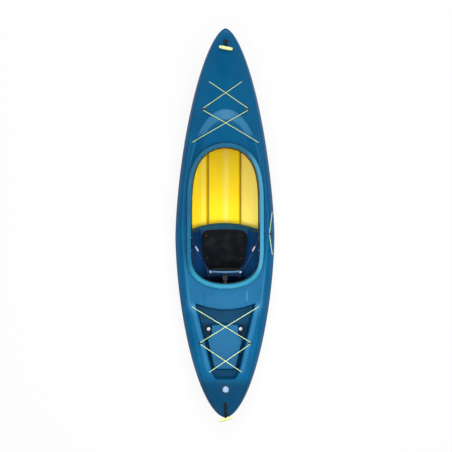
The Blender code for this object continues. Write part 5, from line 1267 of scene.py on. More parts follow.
def seatTab(side):
    # upright tab behind the rim's skirt, bolted to it: up from the wing, its upper corners rounded
    low, high = seatForm["tabs"]
    middle, half = (low + high) / 2, (high - low) / 2
    level = np.linspace(0, 1, 25)[:, None]
    corner = 0.022
    top = boltHeight(middle) + 0.009
    stand = mix(seatForm["wingZ"] - 0.016, top, level)
    over = clip01((stand - top + corner) / corner)
    width = half - corner * fallAway(over) + 0.010 * ease(1 - level / 0.3)
    y = middle + width * np.linspace(-1, 1, 31)[None, :]
    x = openHalf(y) + mix(-0.006, 0.0046, ease(level / 0.16))
    tab = newPiece("tab", gridMesh("tab", stacked(side * x, y, stand), flip=side < 0))
    walled(tab, -seatForm["wall"])
    return bareMesh(tab)


def seatLug(side):
    # ear that the backrest's rod goes through
    y, z = seatForm["hinge"]
    rounded = oval(np.linspace(0, np.pi, 17), seatForm["lugRadius"])
    foot = [(-0.017, 0.050 - z), (-0.0125, 0.058 - z)]
    outline = np.concatenate([rounded, foot[::-1], np.array(foot) * [-1, 1]])
    return slab("lug", outline, seatForm["lugThick"], (side * seatForm["lugX"], y, z), (0, 1, 0), (0, 0, 1),
                bevel=0.0014)


# Cushions: how they are sewn, and how a short cloth simulation fills them.
sewForm = {
    "seam": 0.45,             # height of the seam, as a share of the thickness
    "topRun": 0.034,          # how far in from the seam the upper face goes on rising, and the lower falling
    "lowRun": 0.009,
    "pipe": 0.0026,
    "pipeStep": 0.006,
    "stitch": (0.0036, 0.00055),
    "stitchStep": 0.0058,
    "stitchInset": 0.010,
    "studHold": 0.008,        # radius that a stud keeps in place, and how it draws the cloth down round it
    "studDraw": 0.75,
    "studReach": 0.016,
}
clothForm = {"voxel": 0.005, "steps": 20, "pressure": 4.0, "stretch": 20.0, "bend": 2.0}


def padSurface(along, across, half, thick, corners, length):
    # closed pillow over a plan with rounded corners; heights above the floor of its upper and lower faces,
    # which are quarter ellipses of the distance from the seam
    y = along * length
    corner = np.where(along < 0.5, *corners)
    over = clip01((np.abs(y - length / 2) - length / 2 + corner) / corner)
    wide = half(y) - corner * fallAway(over)
    x = across * wide
    inside = softMin((1 - np.abs(across)) * wide, np.minimum(y, length - y), 0.02)
    inside = np.maximum(inside, 0.0)
    seam = sewForm["seam"] * thick
    top = seam + (thick - seam) * np.sqrt(1 - (1 - clip01(inside / sewForm["topRun"])) ** 2)
    low = seam * fallAway(1 - clip01(inside / sewForm["lowRun"]))
    return x, np.broadcast_to(y, x.shape), top, low


def padMesh(name, half, length, thick, corners, rows, cols, place):
    # the pillow as two grids that meet at the seam; "place" sets (x, along, height) in the model
    along = 0.5 - 0.5 * np.cos(np.linspace(0, np.pi, rows))[:, None]
    across = edgeShares(cols)[None, :]
    x, y, top, low = padSurface(along, across, half, thick, corners, length)
    faces = [gridFaces(rows, cols, flip=True), gridFaces(rows, cols, first=rows * cols)]
    mesh = meshOf(name, np.concatenate([place(x, y, top), place(x, y, low)]), faces)
    plan = np.stack([x, y], -1)
    return healed(mesh), np.concatenate([plan[0, :-1], plan[:-1, -1], plan[-1, :0:-1], plan[:0:-1, 0]])


def evenRing(ring, spacing):
    # a closed line of points set again at even steps
    closed = np.concatenate([ring, ring[:1]])
    run = runOf(closed)
    return evenly(closed, run, int(round(run[-1] / spacing)))


def stuffed(piece, held, cap):
    remesh = piece.modifiers.new("remesh", "REMESH")
    remesh.mode, remesh.voxel_size = "VOXEL", clothForm["voxel"]
    settled(piece, 60)
    rest = coordinates(piece.data)
    group = piece.vertex_groups.new(name="held")
    group.add(np.flatnonzero(held(rest)).tolist(), 1.0, "REPLACE")
    cloth = piece.modifiers.new("cloth", "CLOTH")
    cloth.settings.vertex_group_mass = "held"
    cloth.settings.use_pressure, cloth.settings.uniform_pressure_force = True, clothForm["pressure"]
    cloth.settings.effector_weights.gravity = 0.0
    cloth.settings.tension_stiffness = cloth.settings.compression_stiffness = clothForm["stretch"]
    cloth.settings.bending_stiffness = clothForm["bend"]
    cloth.point_cache.frame_start, cloth.point_cache.frame_end = 1, clothForm["steps"]
    for step in range(1, clothForm["steps"] + 1):
        bpy.context.scene.frame_set(step)
    settled(piece, 60)
    moved = coordinates(piece.data) - rest
    size = np.linalg.norm(moved, axis=1, keepdims=True)
    soft = rest + moved * (cap * np.tanh(size / cap) / np.maximum(size, 1e-9))
    piece.data.vertices.foreach_set("co", soft.astype(np.float32).ravel())
    bpy.context.scene.frame_set(1)
    piece.vertex_groups.clear()
    finer = piece.modifiers.new("finer", "SUBSURF")
    finer.levels = finer.render_levels = 1
    return settled(piece, 60)


def coordinates(mesh):
    return readOut(mesh.vertices, "co", 3, np.float32).astype(float)


def pipedPad(name, body, node, half, length, thick, corners, place, away, studs, cap):
    # cushion with its stuffing, piping round the seam and a row of stitches along it
    mesh, ring = padMesh(name, half, length, thick, corners, 64, 60, place)
    pad = newPiece(name, mesh, padCloth)
    floorPoint, out = away

    def heightOf(points):
        return (points - floorPoint) @ out

    def besideStud(points, spot):
        flat = points - spot
        return np.linalg.norm(flat - np.outer(flat @ out, out), axis=1)

    def held(points):
        kept = heightOf(points) < 0.12 * thick
        for spot in studs:
            kept |= besideStud(points, spot) < sewForm["studHold"]
        return kept

    stuffed(pad, held, cap)
    points = coordinates(pad.data)
    for spot in studs:
        # the cloth is drawn down round each stud
        high = np.maximum(heightOf(points) - sewForm["seam"] * thick, 0.0)
        near = np.exp(-(besideStud(points, spot) / sewForm["studReach"]) ** 2)
        points = points - np.outer(high * sewForm["studDraw"] * near, out)
    pad.data.vertices.foreach_set("co", points.astype(np.float32).ravel())
    carried(pad, body, "black_cloth", node)
    line = place(*evenRing(ring, sewForm["pipeStep"]).T, sewForm["seam"] * thick)
    pipe = roundTube(name + "Piping", line, sewForm["pipe"], sides=10, start=(0.1, 0.2, 1), ring=True)
    seam = evenRing(ring, sewForm["stitchStep"])
    seam = seam + unit(np.array([0.0, length / 2]) - seam) * sewForm["stitchInset"]
    spots = place(*seam.T, 0.5 * thick)
    aheads = alongPath(spots, ring=True)
    tree = surfaceTree(pad)
    heights = np.array([topAlong(tree, spot + shiftBy, out, thick) for spot in spots])
    spots = spots + out * (heights[:, None] + 0.0001)
    stitches = copies(name + "Stitches", bead(*sewForm["stitch"]), spots, aheads, out)
    trim = joinedMesh(name + "Trim", [pipe, numbered(stitches, 1)], 60)
    carried(newPiece(name + "Trim", trim, bindingCloth, threadGrey), body, "black_cloth")


def surfaceTree(piece):
    shape = bmesh.new()
    shape.from_mesh(piece.data)
    tree = BVHTree.FromBMesh(shape)
    shape.free()
    return tree


def topAlong(tree, spot, out, thick):
    # how far above a point the surface lies, looking back down from above it
    hit = tree.ray_cast(Vector(spot) + Vector(out) * 3 * thick, -Vector(out), 6 * thick)
    return 0.0 if hit[0] is None else (hit[0] - Vector(spot)).dot(Vector(out))


def makeSeatCushion():
    front, length = padForm["front"], padForm["length"]
    slope = math.atan(seatForm["slope"])

    def place(x, y, high):
        bowed = front - y - 0.010 * (1 - y / length) * (x / padForm["frontHalf"]) ** 2
        return np.stack([x, bowed, seatPlane(bowed) + 0.0004 + high], -1)

    out = np.array([0, -math.sin(slope), math.cos(slope)])
    floor = shiftBy + (0, front, seatPlane(front))
    studs = [shiftBy + (side * x, y, 0.0) for x, y in padForm["studs"] for side in (-1, 1)]
    pipedPad("seatCushion", "hull", "seat_cushion", lambda y: cushionHalf(front - y), length,
             padForm["height"], padForm["corners"], place, (floor, out), studs, 0.006)


# Backrest, made upright in its own frame (x, forward, up) and leaned back on its rod.
backForm = {
    "lean": math.radians(3),
    "height": 0.213,
    "topHalf": 0.129,
    "footHalf": 0.098,
    "neck": 0.018,
    "curve": 0.008,
    "thick": 0.005,
    "corner": 0.030,
    "roll": 0.011,            # how far the top edge rolls forward over the cushion
    "cushion": 0.020,
    "margin": 0.016,
    "sideUp": 0.185,          # height of the side straps' rivets and of the rear strap's
    "rearUp": 0.160,
    "rivetX": 0.117,
}


def backPlace(x, forward, up):
    cos, sin = math.cos(backForm["lean"]), math.sin(backForm["lean"])
    y, z = seatForm["hinge"]
    return stacked(x, y + forward * cos - up * sin, z + forward * sin + up * cos)


backOut = np.array([0, math.cos(backForm["lean"]), math.sin(backForm["lean"])])
backUp = np.array([0, -math.sin(backForm["lean"]), math.cos(backForm["lean"])])


def backHalf(up):
    share = clip01((up - backForm["neck"]) / (backForm["height"] - backForm["neck"]))
    half = mix(backForm["footHalf"], backForm["topHalf"], ease(share * 1.6))
    over = clip01((up - backForm["height"] + backForm["corner"]) / backForm["corner"])
    return half - backForm["corner"] * fallAway(over) * 0.8


def backFace(x):
    return backForm["curve"] * (x / backForm["topHalf"]) ** 2


def makeBackrest():
    # panel curved forward at its sides and rolled forward along its top, with ribs behind and two knuckles
    high = backForm["height"] - 0.004
    up = spaced([0.006, 0.018, 0.150, high], [4, 36, 18])
    roll = np.linspace(0, np.pi / 2, 9)[1:]
    ups = np.concatenate([up, high + 0.004 * np.sin(roll)])[:, None]
    forwards = np.concatenate([0 * up, backForm["roll"] * (1 - np.cos(roll))])[:, None]
    x = backHalf(ups) * edgeShares(61)[None, :]
    ribbed = 0.0016 * (0.5 + 0.5 * np.cos(x / 0.0085 * np.pi)) * ease((0.14 - np.abs(ups - 0.09)) / 0.06)
    grid = backPlace(x, backFace(x) + forwards - ribbed * ease((0.075 - np.abs(x)) / 0.01), ups)
    uv = stacked(0 * x, ups / backForm["height"])
    panel = newPiece("backrestFrame", gridMesh("backrestFrame", grid, uv, flip=True))
    walled(panel, backForm["thick"])
    bevelled(panel, 0.0012, 50)
    parts = [bareMesh(panel)]
    knuckle = [(0.006, -0.010), (0.0104, -0.010), (0.011, -0.0092), (0.011, 0.0092), (0.0104, 0.010),
               (0.006, 0.010), (0.006, -0.010)]
    boss = oval(np.linspace(-np.pi / 2, np.pi / 2, 11), 0.0085, 0.0062)
    for side in (-1, 1):
        parts.append(turnedMesh("knuckle", knuckle, (side * 0.085, *seatForm["hinge"]), (1, 0, 0)))
        corner = backPlace(side * 0.116, 0.003, backForm["height"] - 0.008)
        parts.append(numbered(turnedMesh("cornerBoss", boss, corner, backUp, 24), 1))
    for x in (-0.060, 0.0, 0.060):
        spot = backPlace(x, float(backFace(x)) - backForm["thick"] - 0.0016, 0.088)
        parts.append(slab("rib", roundedOutline(0.006, 0.150, 0.0028), 0.0045, spot, (1, 0, 0), backUp,
                          bevel=0.001))
    fitted("backrestFrame", parts, [backNavy, plugPale], "backrest", "navy_plastic", "backrest_frame")


def makeBackCushion():
    low, high = backForm["neck"] + 0.008, backForm["height"] - 0.007

    def place(x, y, up):
        return backPlace(x, backFace(x) + 0.0012 + up, low + y)

    def half(y):
        return backHalf(low + y) - backForm["margin"]

    floor = backPlace(0.0, 0.0012, low) + shiftBy
    pipedPad("backrestCushion", "backrest", "backrest_cushion", half, high - low, backForm["cushion"],
             (0.026, 0.026), place, (floor, backOut), [], 0.004)


def makeRod():
    # the backrest's rod, with a groove near each rounded end
    rod = [(0, -0.122), (0.0036, -0.122), (0.005, -0.1205), (0.005, -0.1155), (0.0042, -0.115),
           (0.0042, -0.1135), (0.005, -0.113)]
    profile = rod + [(radius, -height) for radius, height in rod[::-1]]
    mesh = turnedMesh("backrestRod", profile, (0, *seatForm["hinge"]), (1, 0, 0), 24)
    standIn("backrest_rod", mesh, boltSteel, "hull", "steel")


# Webbing: side straps from the backrest round its edges to the bolts in the rim, and one behind.
strapForm = {"width": 0.025, "thick": 0.002, "grip": -0.115, "adjuster": 0.72}


def strapLine(x):
    touch = backForm["rivetX"] if x else 0.0
    slope = 2 * backForm["curve"] * touch / backForm["topHalf"] ** 2
    return float(backFace(touch)) - backForm["thick"] + slope * (x - touch) - 0.0009 - strapForm["thick"] / 2


def strung(name, node, path, across):
    # webbing that follows the backrest at its start and the hull from its end on
    strap = newPiece(name, webbingStrap(name, path, across), strapWeb)
    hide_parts(node)
    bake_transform(strap)


def makeSideStraps():
    y = strapForm["grip"]
    height = boltHeight(y)
    inner = float(openHalf(y)) - rimForm["lean"] * (seatForm["boltDrop"] + 0.0125) / rimForm["skirt"] - 0.0015
    inner -= strapForm["thick"] / 2 + 0.0003
    for name, side in bothSides:
        spots = [(x, strapLine(x)) for x in (0.102, 0.118, 0.133)] + [(0.1385, 0.012)]
        behind = [backPlace(side * x, forward, backForm["sideUp"]) for x, forward in spots]
        start = behind[-1]
        end = np.array([side * (inner - 0.004), y - 0.022, height])
        free = [mix(start, end, share) + np.array([side * 0.003 * math.sin(math.pi * share), 0, 0])
                for share in (0.25, 0.5, 0.75)]
        path = np.array([*behind, *free, end, (side * inner, y - 0.012, height),
                         (side * inner, y + 0.014, height)])
        strung("sideStrap_" + name, "side_strap_" + name, path, (0, 0, 1))
        makeAdjuster(name, mix(start, end, strapForm["adjuster"]), unit(end - start), side)


def makeAdjuster(name, middle, ahead, side):
    # ladder buckle round the strap: a frame with three bars, longer fore and aft than the strap is wide
    upward = unit(np.array([0, 0, 1.0]) - ahead * ahead[2])
    crossbars = ((-0.022, -0.0155), (-0.0045, 0.0015), (0.0125, 0.022))
    rows = [(high - low, 0.034, 0.0025, (low + high) / 2, 0) for low, high in crossbars]
    rows += [(0.044, 0.0044, 0.0018, 0, edge) for edge in (-0.0148, 0.0148)]
    out = np.cross(ahead, upward)
    out = out if out[0] * side < 0 else -out
    parts = bars(rows, 0.009, middle, ahead, upward, 0.0012)
    parts += bars([(0.030, 0.022, 0.005, -0.004, 0)], 0.003, middle + out * 0.0062, ahead, upward, 0.0012)
    fitted("strapAdjuster_" + name, parts, [nylonPaleAndHighlight], "hull", "grey_nylon", "strap_adjuster_" + name)


def makeRearStrap():
    spot = np.array([0.0, openStern])
    height = float(rimBase(spot[None], np.array([[0.0, -1.0]]))[0]) - seatForm["boltDrop"]
    flat = 0.0105
    skirt = openStern + rimForm["lean"] * (seatForm["boltDrop"] + flat) / rimForm["skirt"]
    skirt = skirt + 0.0012 + strapForm["thick"] / 2
    first, second = [backPlace(0.0, strapLine(0), backForm["rearUp"] + up) for up in (0.012, -0.014)]
    third = second + [0, -0.010, -0.010]
    low = np.array([0, skirt + 0.012, height - 0.020])
    sag = mix(third, low, 0.5) + [0, 0, -0.004]
    path = np.array([first, mix(first, second, 0.5), second, third, sag, low, (0, skirt, height - flat),
                     (0, skirt, height + flat)])
    strung("rearStrap", "rear_strap", path, (1, 0, 0))
    crossbars = ((-0.0125, 0.005), (0.0, 0.004), (0.0125, 0.005))
    rows = [(0.036, wide, 0.0018, 0, edge) for edge, wide in crossbars]
    rows += [(0.0044, 0.030, 0.0018, edge, 0) for edge in (-0.0158, 0.0158)]
    parts = bars(rows, 0.008, sag, np.array([1.0, 0, 0]), unit(low - third), 0.001)
    fitted("rearStrapBuckle", parts, [nylonDark], "hull", "black_nylon", "rear_strap_buckle")


makeSeat()
makeSeatCushion()
makeBackrest()
makeBackCushion()
makeRod()
makeSideStraps()
makeRearStrap()
print("stage: seat, backrest and straps made")


# Cords on the decks with their saddles, and the carrying handles with their eyes.
cordForm = {
    "radius": 0.003,
    # each corner's share of the half breadth, and its distance from the cockpit's end
    "bow": ((0.5964, 0.515), (0.6450, 0.3), (0.8146, 0.04)),
    "stern": ((0.7595, 0.1765), (0.6642, 0.463), (0.5486, 0.688)),
    "paddleEnds": ((0.012, 0.087), (0.014, -0.249)),
    "paddleMiddle": (0.49, -0.085),
    "over": 0.0063,           # how far the second cord of a crossing is lifted over the first
}
saddleForm = {"half": 0.018, "inner": 0.005, "leg": 0.004, "corner": 0.005, "thick": 0.003, "plate": 0.003,
              "depth": 0.010}
eyeForm = {"half": 0.028, "inner": 0.014, "leg": 0.005, "corner": 0.005, "thick": 0.004, "plate": 0.003,
           "depth": 0.008}
handleForm = {
    "webbing": (0.018, 0.0024),
    "eyes": {"bow": (1.42631, 0.35655), "stern": (-1.41632, 0.33141)},
    "grips": {"bow": (1.368, 0.35754), "stern": (-1.535, 0.32207)},
    "roundBar": 0.00797,
    "roundGrip": 0.0093,
    "gripLength": 0.107,
    "gripMiddle": 0.0148,
    "gripEnd": 0.0105,
    "askew": {"bow": math.radians(-11), "stern": math.radians(14)},
}


def deckFrame(x, y, half, depth):
    # where a fitting sits on the deck, and its directions: across the hull, along it and out of the deck
    rise = [float(deckSurface(x + half, y) - deckSurface(x - half, y)) / (2 * half),
            float(deckSurface(x, y + depth) - deckSurface(x, y - depth)) / (2 * depth)]
    up = Vector((-rise[0], -rise[1], 1)).normalized()
    turn = np.array(Vector((0, 0, 1)).rotation_difference(up).to_matrix())
    tries = np.linspace(-1, 1, 5)
    spread = deckSurface(x + half * tries, y + 0 * tries) - rise[0] * half * tries
    return np.array([x, y, float(spread.max()) + 0.0003]), turn[:, 0], turn[:, 1], turn[:, 2]


def archOutline(form):
    # two feet and the arch between them, counterclockwise from the left foot
    half, inner, leg, corner, thick, plate = (form[key] for key in
                                              ("half", "inner", "leg", "corner", "thick", "plate"))
    turn = np.linspace(0, np.pi / 2, 7)
    right, left = (inner - corner, leg), (corner - inner, leg)
    points = [
        [(-half, 0), (-inner, 0)],
        (left + oval(turn + np.pi / 2, corner))[::-1],
        (right + oval(turn, corner))[::-1],
        [(inner, 0), (half, 0), (half, plate), (inner + thick, plate)],
        right + oval(turn, corner + thick),
        left + oval(turn + np.pi / 2, corner + thick),
        [(-inner - thick, plate), (-half, plate)],
    ]
    points = np.concatenate([np.asarray(part, float) for part in points])
    return points[np.linalg.norm(points - np.roll(points, 1, axis=0), axis=1) > 1e-5]


def makeFitting(name, node, form, x, y):
    # saddle or eye with a screw in each foot; returns where it sits and its directions
    spot, across, along, up = deckFrame(x, y, form["half"], form["depth"] / 2)
    parts = [slab("arch", archOutline(form), form["depth"], spot, across, up, bevel=0.0007)]
    dome = [(0.0, 0.0017), (0.0016, 0.0016), (0.0029, 0.0009), (0.0034, 0.0), (0.0034, -0.0008)]
    away = (form["half"] + form["inner"] + form["thick"]) / 2
    for side in (-1, 1):
        foot = spot + across * side * away + up * 0.003
        parts.append(numbered(turnedMesh("screw", dome[::-1], foot, up, 16), 1))
    fitted(name, parts, [nylonBlack, nylonDark], "hull", "black_nylon", node)
    return spot, across, along, up


def deckRun(first, last, lift):
    # a tight cord between two points: the upper hull of the deck under it, raised by its radius, and lifted
    # where it crosses the middle plane over another cord
    steps = 60
    share = np.linspace(0, 1, steps + 1)
    plan = mix(first[None, :2], last[None, :2], share[:, None])
    floor = deckSurface(plan[:, 0], plan[:, 1]) + cordForm["radius"] + 0.0004
    floor[0], floor[-1] = first[2], last[2]
    keep = [0]
    for index in range(1, steps + 1):
        while len(keep) > 1:
            low, middle = keep[-2], keep[-1]
            straight = mix(floor[low], floor[index], (middle - low) / (index - low))
            if floor[middle] > straight:
                break
            keep.pop()
        keep.append(index)
    height = np.interp(share, share[keep], floor[keep])
    height = height + lift * np.exp(-(plan[:, 0] / 0.03) ** 2)
    return np.column_stack([plan, height])[::3]


def cordEnd(x, y, towards):
    # from the run over the hole's edge and down through the deck to a knot
    away = unit(np.asarray(towards, float) - (x, y)) * 0.007
    top = float(deckSurface(x, y))
    heights = (0.0039, 0.0018, -0.0045, -0.009, -0.012, -0.016)
    shares = (1.0, 0.35, 0.0, 0.0, 0.0, 0.0)
    return [np.array([x + away[0] * share, y + away[1] * share, top + high])
            for high, share in zip(heights, shares)]


def cordBend(spot, across, along, up, side, out):
    # round a leg of its saddle, the part nearest the bow first
    ahead = [(-out, 0.0165), (-0.25 * out, 0.0100), (0.0007, 0.003)]
    offsets = ahead + [(x, -y) for x, y in reversed(ahead)]
    return [spot + across * side * x + along * y + up * (cordForm["radius"] + 0.0006) for x, y in offsets]


def makeCord(name, node, first, middle, last, bend, lift):
    start, end = cordEnd(*first, middle), cordEnd(*last, middle)
    fore, aft = deckRun(start[0], bend[0], lift), deckRun(bend[-1], end[0], lift)
    path = throughPoints(np.array([*start[::-1][:-1], *fore, *bend[1:-1], *aft, *end[1:]]), 3)
    length = float(runOf(path)[-1])
    cord = newPiece(name, roundTube(name, path, cordForm["radius"], sides=14, start=(0, 0.2, 1)), cordYellow)
    ball = oval(np.linspace(-np.pi / 2, np.pi / 2, 9), 0.0062, 0.0046) + (0, 0.0036)
    knots = [turnedMesh("knot", ball, spot, unit(inner - spot), 16)
             for spot, inner in ((path[0], path[1]), (path[-1], path[-2]))]
    knot = fitted(name + "Knots", knots, [cordYellow], "hull", "yellow_cord")
    carried(cord, "hull", "yellow_cord", node)


def makeCrossedCords(end, base, sign):
    spots = sorted(((share * float(halfBreadth(base + sign * along)), base + sign * along)
                    for share, along in cordForm[end]), key=lambda spot: -spot[1])
    (firstX, firstY), (middleX, middleY), (lastX, lastY) = spots
    for name, side in bothSides:
        middle = (side * middleX, middleY)
        placed = makeFitting(f"{end}Saddle_{name}", f"{end}_saddle_{name}", saddleForm, *middle)
        makeCord(f"{end}Cord_{name}", f"{end}_cord_{name}", (-side * firstX, firstY), middle,
                 (-side * lastX, lastY), cordBend(*placed, side, 0.013), cordForm["over"] * (side > 0))


def makePaddleCord():
    first, last = [(float(halfBreadth(y)) - inset, y) for inset, y in cordForm["paddleEnds"]]
    share, y = cordForm["paddleMiddle"]
    x = mix(float(halfBreadth(y)), float(openHalf(y)) + rimForm["width"], share)
    placed = makeFitting("paddleSaddle", "paddle_saddle", saddleForm, x - 0.004, y)
    makeCord("paddleCord", "paddle_cord", first, (x, y), last, cordBend(*placed, -1, 0.003), 0.0)


def beltPath(first, firstRadius, second, secondRadius):
    # closed loop in the middle plane round two circles, given by their (y, z) centres
    first, second = np.asarray(first, float), np.asarray(second, float)
    reachTo = second - first
    heading = math.atan2(reachTo[1], reachTo[0])
    lean = math.asin((firstRadius - secondRadius) / np.linalg.norm(reachTo))
    near = np.linspace(heading + np.pi / 2 - lean, heading + 1.5 * np.pi + lean, 25)
    far = np.linspace(heading - np.pi / 2 + lean, heading + np.pi / 2 - lean, 25)
    arcs = np.concatenate([first + oval(near, firstRadius), second + oval(far, secondRadius)])
    ring = evenRing(arcs, 0.002)
    return np.column_stack([0 * ring[:, 0], ring])


def makeHandle(end):
    y, z = handleForm["eyes"][end]
    makeFitting(end + "HandleEye", end + "_handle_eye", eyeForm, 0.0, y)
    gripY, gripZ = handleForm["grips"][end]
    path = beltPath((y, z), handleForm["roundBar"], (gripY, gripZ), handleForm["roundGrip"])
    wide, thick = handleForm["webbing"]
    outline = oval(turns(24), wide / 2, thick / 2, 0.35, 0.6)
    across = np.broadcast_to([1.0, 0, 0], path.shape)
    mesh = profileAlong("loop", path, across, np.cross(alongPath(path, True), across), outline, ring=True,
                        angle=60)
    standIn(end + "_handle_loop", mesh, loopBlack, end + "_handle", "black_webbing")
    half = handleForm["gripLength"] / 2
    run = edgeShares(41)
    radius = mix(handleForm["gripMiddle"], handleForm["gripEnd"], np.abs(run) ** 2.2)
    radius = radius - 0.0007 * (0.5 + 0.5 * np.cos(np.clip(run / 0.16, -4, 4) * np.pi)) * (np.abs(run) < 0.8)
    radius = radius * (1 - clip01((np.abs(run) - 0.93) / 0.07) ** 3 * 0.55)
    profile = [(0, -half), *zip(radius, run * half), (0, half)]
    askew = handleForm["askew"][end]
    mesh = turnedMesh("grip", profile, (0, gripY, gripZ), (math.cos(askew), math.sin(askew), 0), 28)
    standIn(end + "_toggle", mesh, gripYellow, end + "_handle", "yellow_plastic")


makeCrossedCords("bow", openBow, 1)
makeCrossedCords("stern", openStern, -1)
makePaddleCord()
makeHandle("bow")
makeHandle("stern")
print("stage: cords and handles made")


# Drain in the stern deck, foot braces, screws, foam blocks and scupper tubes.
braceForm = {"x": 0.26538, "y": 0.81, "z": 0.15, "along": (0.21351, 0.97694), "length": 0.38, "thick": 0.010,
             "height": 0.024, "gap": 0.0003, "standoff": 0.0073, "span": 0.34, "carriage": 0.060,
             "sleeve": 0.004, "slide": 0.0005, "pedal": (0.080, 0.105, 0.008), "pedalOut": 0.009}


def makeDrain():
    y, z = drainForm["y"], drainForm["z"]
    spot, high, bore = (0, y, z), drainForm["flangeHigh"], drainForm["bore"]
    edge, hole, neck = drainForm["flange"], drainForm["hole"] - 0.0005, drainForm["neck"]
    socket = [(bore, high), (bore + 0.0008, high + 0.0004), (edge - 0.004, high),
              (edge - 0.0016, high - 0.0006), (edge, high - 0.0022), (edge, 0.0), (hole, 0.0), (hole, -neck),
              (bore, -neck), (bore, high)]
    parts = [turnedMesh("drainSocket", socket[::-1], spot, (0, 0, 1), 64)]
    dome = [(0.0, 0.0014), (0.0014, 0.0013), (0.0024, 0.0007), (0.0028, -0.0006)]
    for turn in np.radians((35, 145, 215, 325)):
        place = (drainForm["screws"] * math.cos(turn), y + drainForm["screws"] * math.sin(turn), z + high)
        parts.append(numbered(turnedMesh("drainScrew", dome[::-1], place, (0, 0, 1), 16), 1))
    fitted("drainSocket", parts, [nylonBlack, boltSteel], "hull", "black_nylon", "drain_socket")

    stem = bore - 0.0003
    low = high + drainForm["gap"]
    top = low + drainForm["gasket"]
    middle, half = (stem + drainForm["plug"] - 0.002) / 2, (drainForm["plug"] - 0.002 - stem) / 2
    ring = oval(np.linspace(0, 2 * np.pi, 17), half, (top - low) / 2, 0.6, 0.6) + (middle, (low + top) / 2)
    gasket = turnedMesh("drainGasket", ring[::-1], spot, (0, 0, 1), 48)
    standIn("drain_gasket", gasket, rubberBlack, "drain_seal", "black_rubber")

    base, cap, edge = top + drainForm["gap"], top + drainForm["gap"] + drainForm["cap"], drainForm["plug"]
    dish, foot, pitch = edge - 0.007, -drainForm["stem"], drainForm["pitch"]
    profile = [(0, cap - 0.0068), (dish - 0.002, cap - 0.0068), (dish - 0.0006, cap - 0.0062),
               (dish, cap - 0.005), (dish + 0.0014, cap - 0.0009), (dish + 0.0026, cap),
               (edge - 0.0022, cap), (edge - 0.0007, cap - 0.0006), (edge, cap - 0.002),
               (edge, base + 0.0005), (edge - 0.0006, base), (stem, base)]
    root = stem - 0.0012
    for crest in -0.001 - pitch * np.arange(5):
        # one turn of the thread
        profile += [(stem, crest), (root, crest - pitch * 0.35), (root, crest - pitch * 0.6)]
    profile += [(stem - 0.001, foot), (stem - 0.003, foot), (0, foot)]
    parts = [turnedMesh("drainPlug", profile[::-1], spot, (0, 0, 1), 64)]
    bar = roundedOutline(2 * dish + 0.001, 0.0065, 0.002)
    parts.append(slab("drainBar", bar, 0.0075, (0, y, z + cap - 0.0042), (1, 0, 0), (0, 1, 0), bevel=0.0014))
    # grip ribs round the cap's edge
    away = np.pad(oval(turns(36), 1.0), ((0, 0), (0, 1)))
    ribs = np.array([0, y, z + (base + cap) / 2]) + away * (edge - 0.0002)
    parts.append(copies("drainRibs", bead(0.0085, 0.0007), ribs, (0, 0, 1), away))
    fitted("drainPlug", parts, [plugPale], "plug", "pale_plastic", "drain_plug")


def braceFrame(side):
    along = np.array([-side * braceForm["along"][0], braceForm["along"][1], 0.0])
    middle = np.array([side * braceForm["x"], braceForm["y"], braceForm["z"]])
    inward = np.cross(along, [0, 0, 1.0])
    inward = inward if inward[0] * side < 0 else -inward
    return middle, along, inward


def makeBrace(name, side):
    middle, along, inward = braceFrame(side)
    up = np.array([0, 0, 1.0])
    gap, length, depth = braceForm["gap"], braceForm["length"], braceForm["thick"]
    back = gap + braceForm["standoff"]
    centre = middle + inward * (back + depth / 2)
    window = roundedOutline(length - 0.060, 0.008, 0.0038)
    web = roundedOutline(length - 0.056, 0.010, 0.004)
    parts = [slab("rail", roundedOutline(length, braceForm["height"], 0.007), depth, centre, along, up,
                  hole=window, bevel=0.0012),
             slab("railWeb", web, 0.003, centre - inward * 0.0025, along, up)]
    # stops for the pedal's catch, along the lower edge of the rail
    spots = centre + np.outer(np.linspace(-0.145, 0.145, 18), along) + inward * 0.0005
    parts.append(copies("railStops", bead(0.009, 0.0018, power=4), spots, up, inward))
    boss = [(0.0, gap), (0.0076, gap), (0.008, gap + 0.0004), (0.008, back + 0.003), (0.0, back + 0.003)]
    for end in (-1, 1):
        parts.append(turnedMesh("boss", boss, middle + along * end * braceForm["span"] / 2, inward, 24))
    fitted("footRail_" + name, parts, [nylonBlack], "hull", "black_nylon", "foot_rail_" + name)

    wide, high, thick = braceForm["pedal"]
    wall, slide = braceForm["sleeve"], braceForm["slide"]
    deep, tall = depth + 2 * (wall + slide), braceForm["height"] + 2 * (wall + slide)
    opening = roundedOutline(deep - 2 * wall, tall - 2 * wall, 0.0012)
    parts = [slab("carriage", roundedOutline(deep, tall, 0.003), braceForm["carriage"], centre, inward, up,
                  hole=opening, bevel=0.0009)]
    plate = middle + inward * (back + depth + slide + wall + wide / 2 - 0.001)
    plate = plate - along * (braceForm["carriage"] / 2 - thick / 2) + up * braceForm["pedalOut"]
    parts.append(slab("pedalPlate", roundedOutline(wide, high, 0.014, steps=7), thick, plate, inward, up,
                      bevel=0.0016))
    spots = plate - along * (thick / 2 + 0.0004) + np.outer(np.linspace(-0.036, 0.036, 7), up)
    parts.append(copies("pedalRibs", bead(wide - 0.016, 0.0018, rings=9, power=8), spots, inward, -along))
    web = np.array([(0.0, 0.0), (0.040, 0.0), (0.0, 0.034)])
    for level in (-0.010, 0.010):
        spot = plate - inward * (wide / 2 - 0.002) + along * thick / 2 + up * level
        parts.append(slab("pedalWeb", web, 0.004, spot, inward, along, bevel=0.0008))
    fitted("footPedal_" + name, parts, [nylonBlack], "pedal_" + name, "black_nylon", "foot_pedal_" + name)


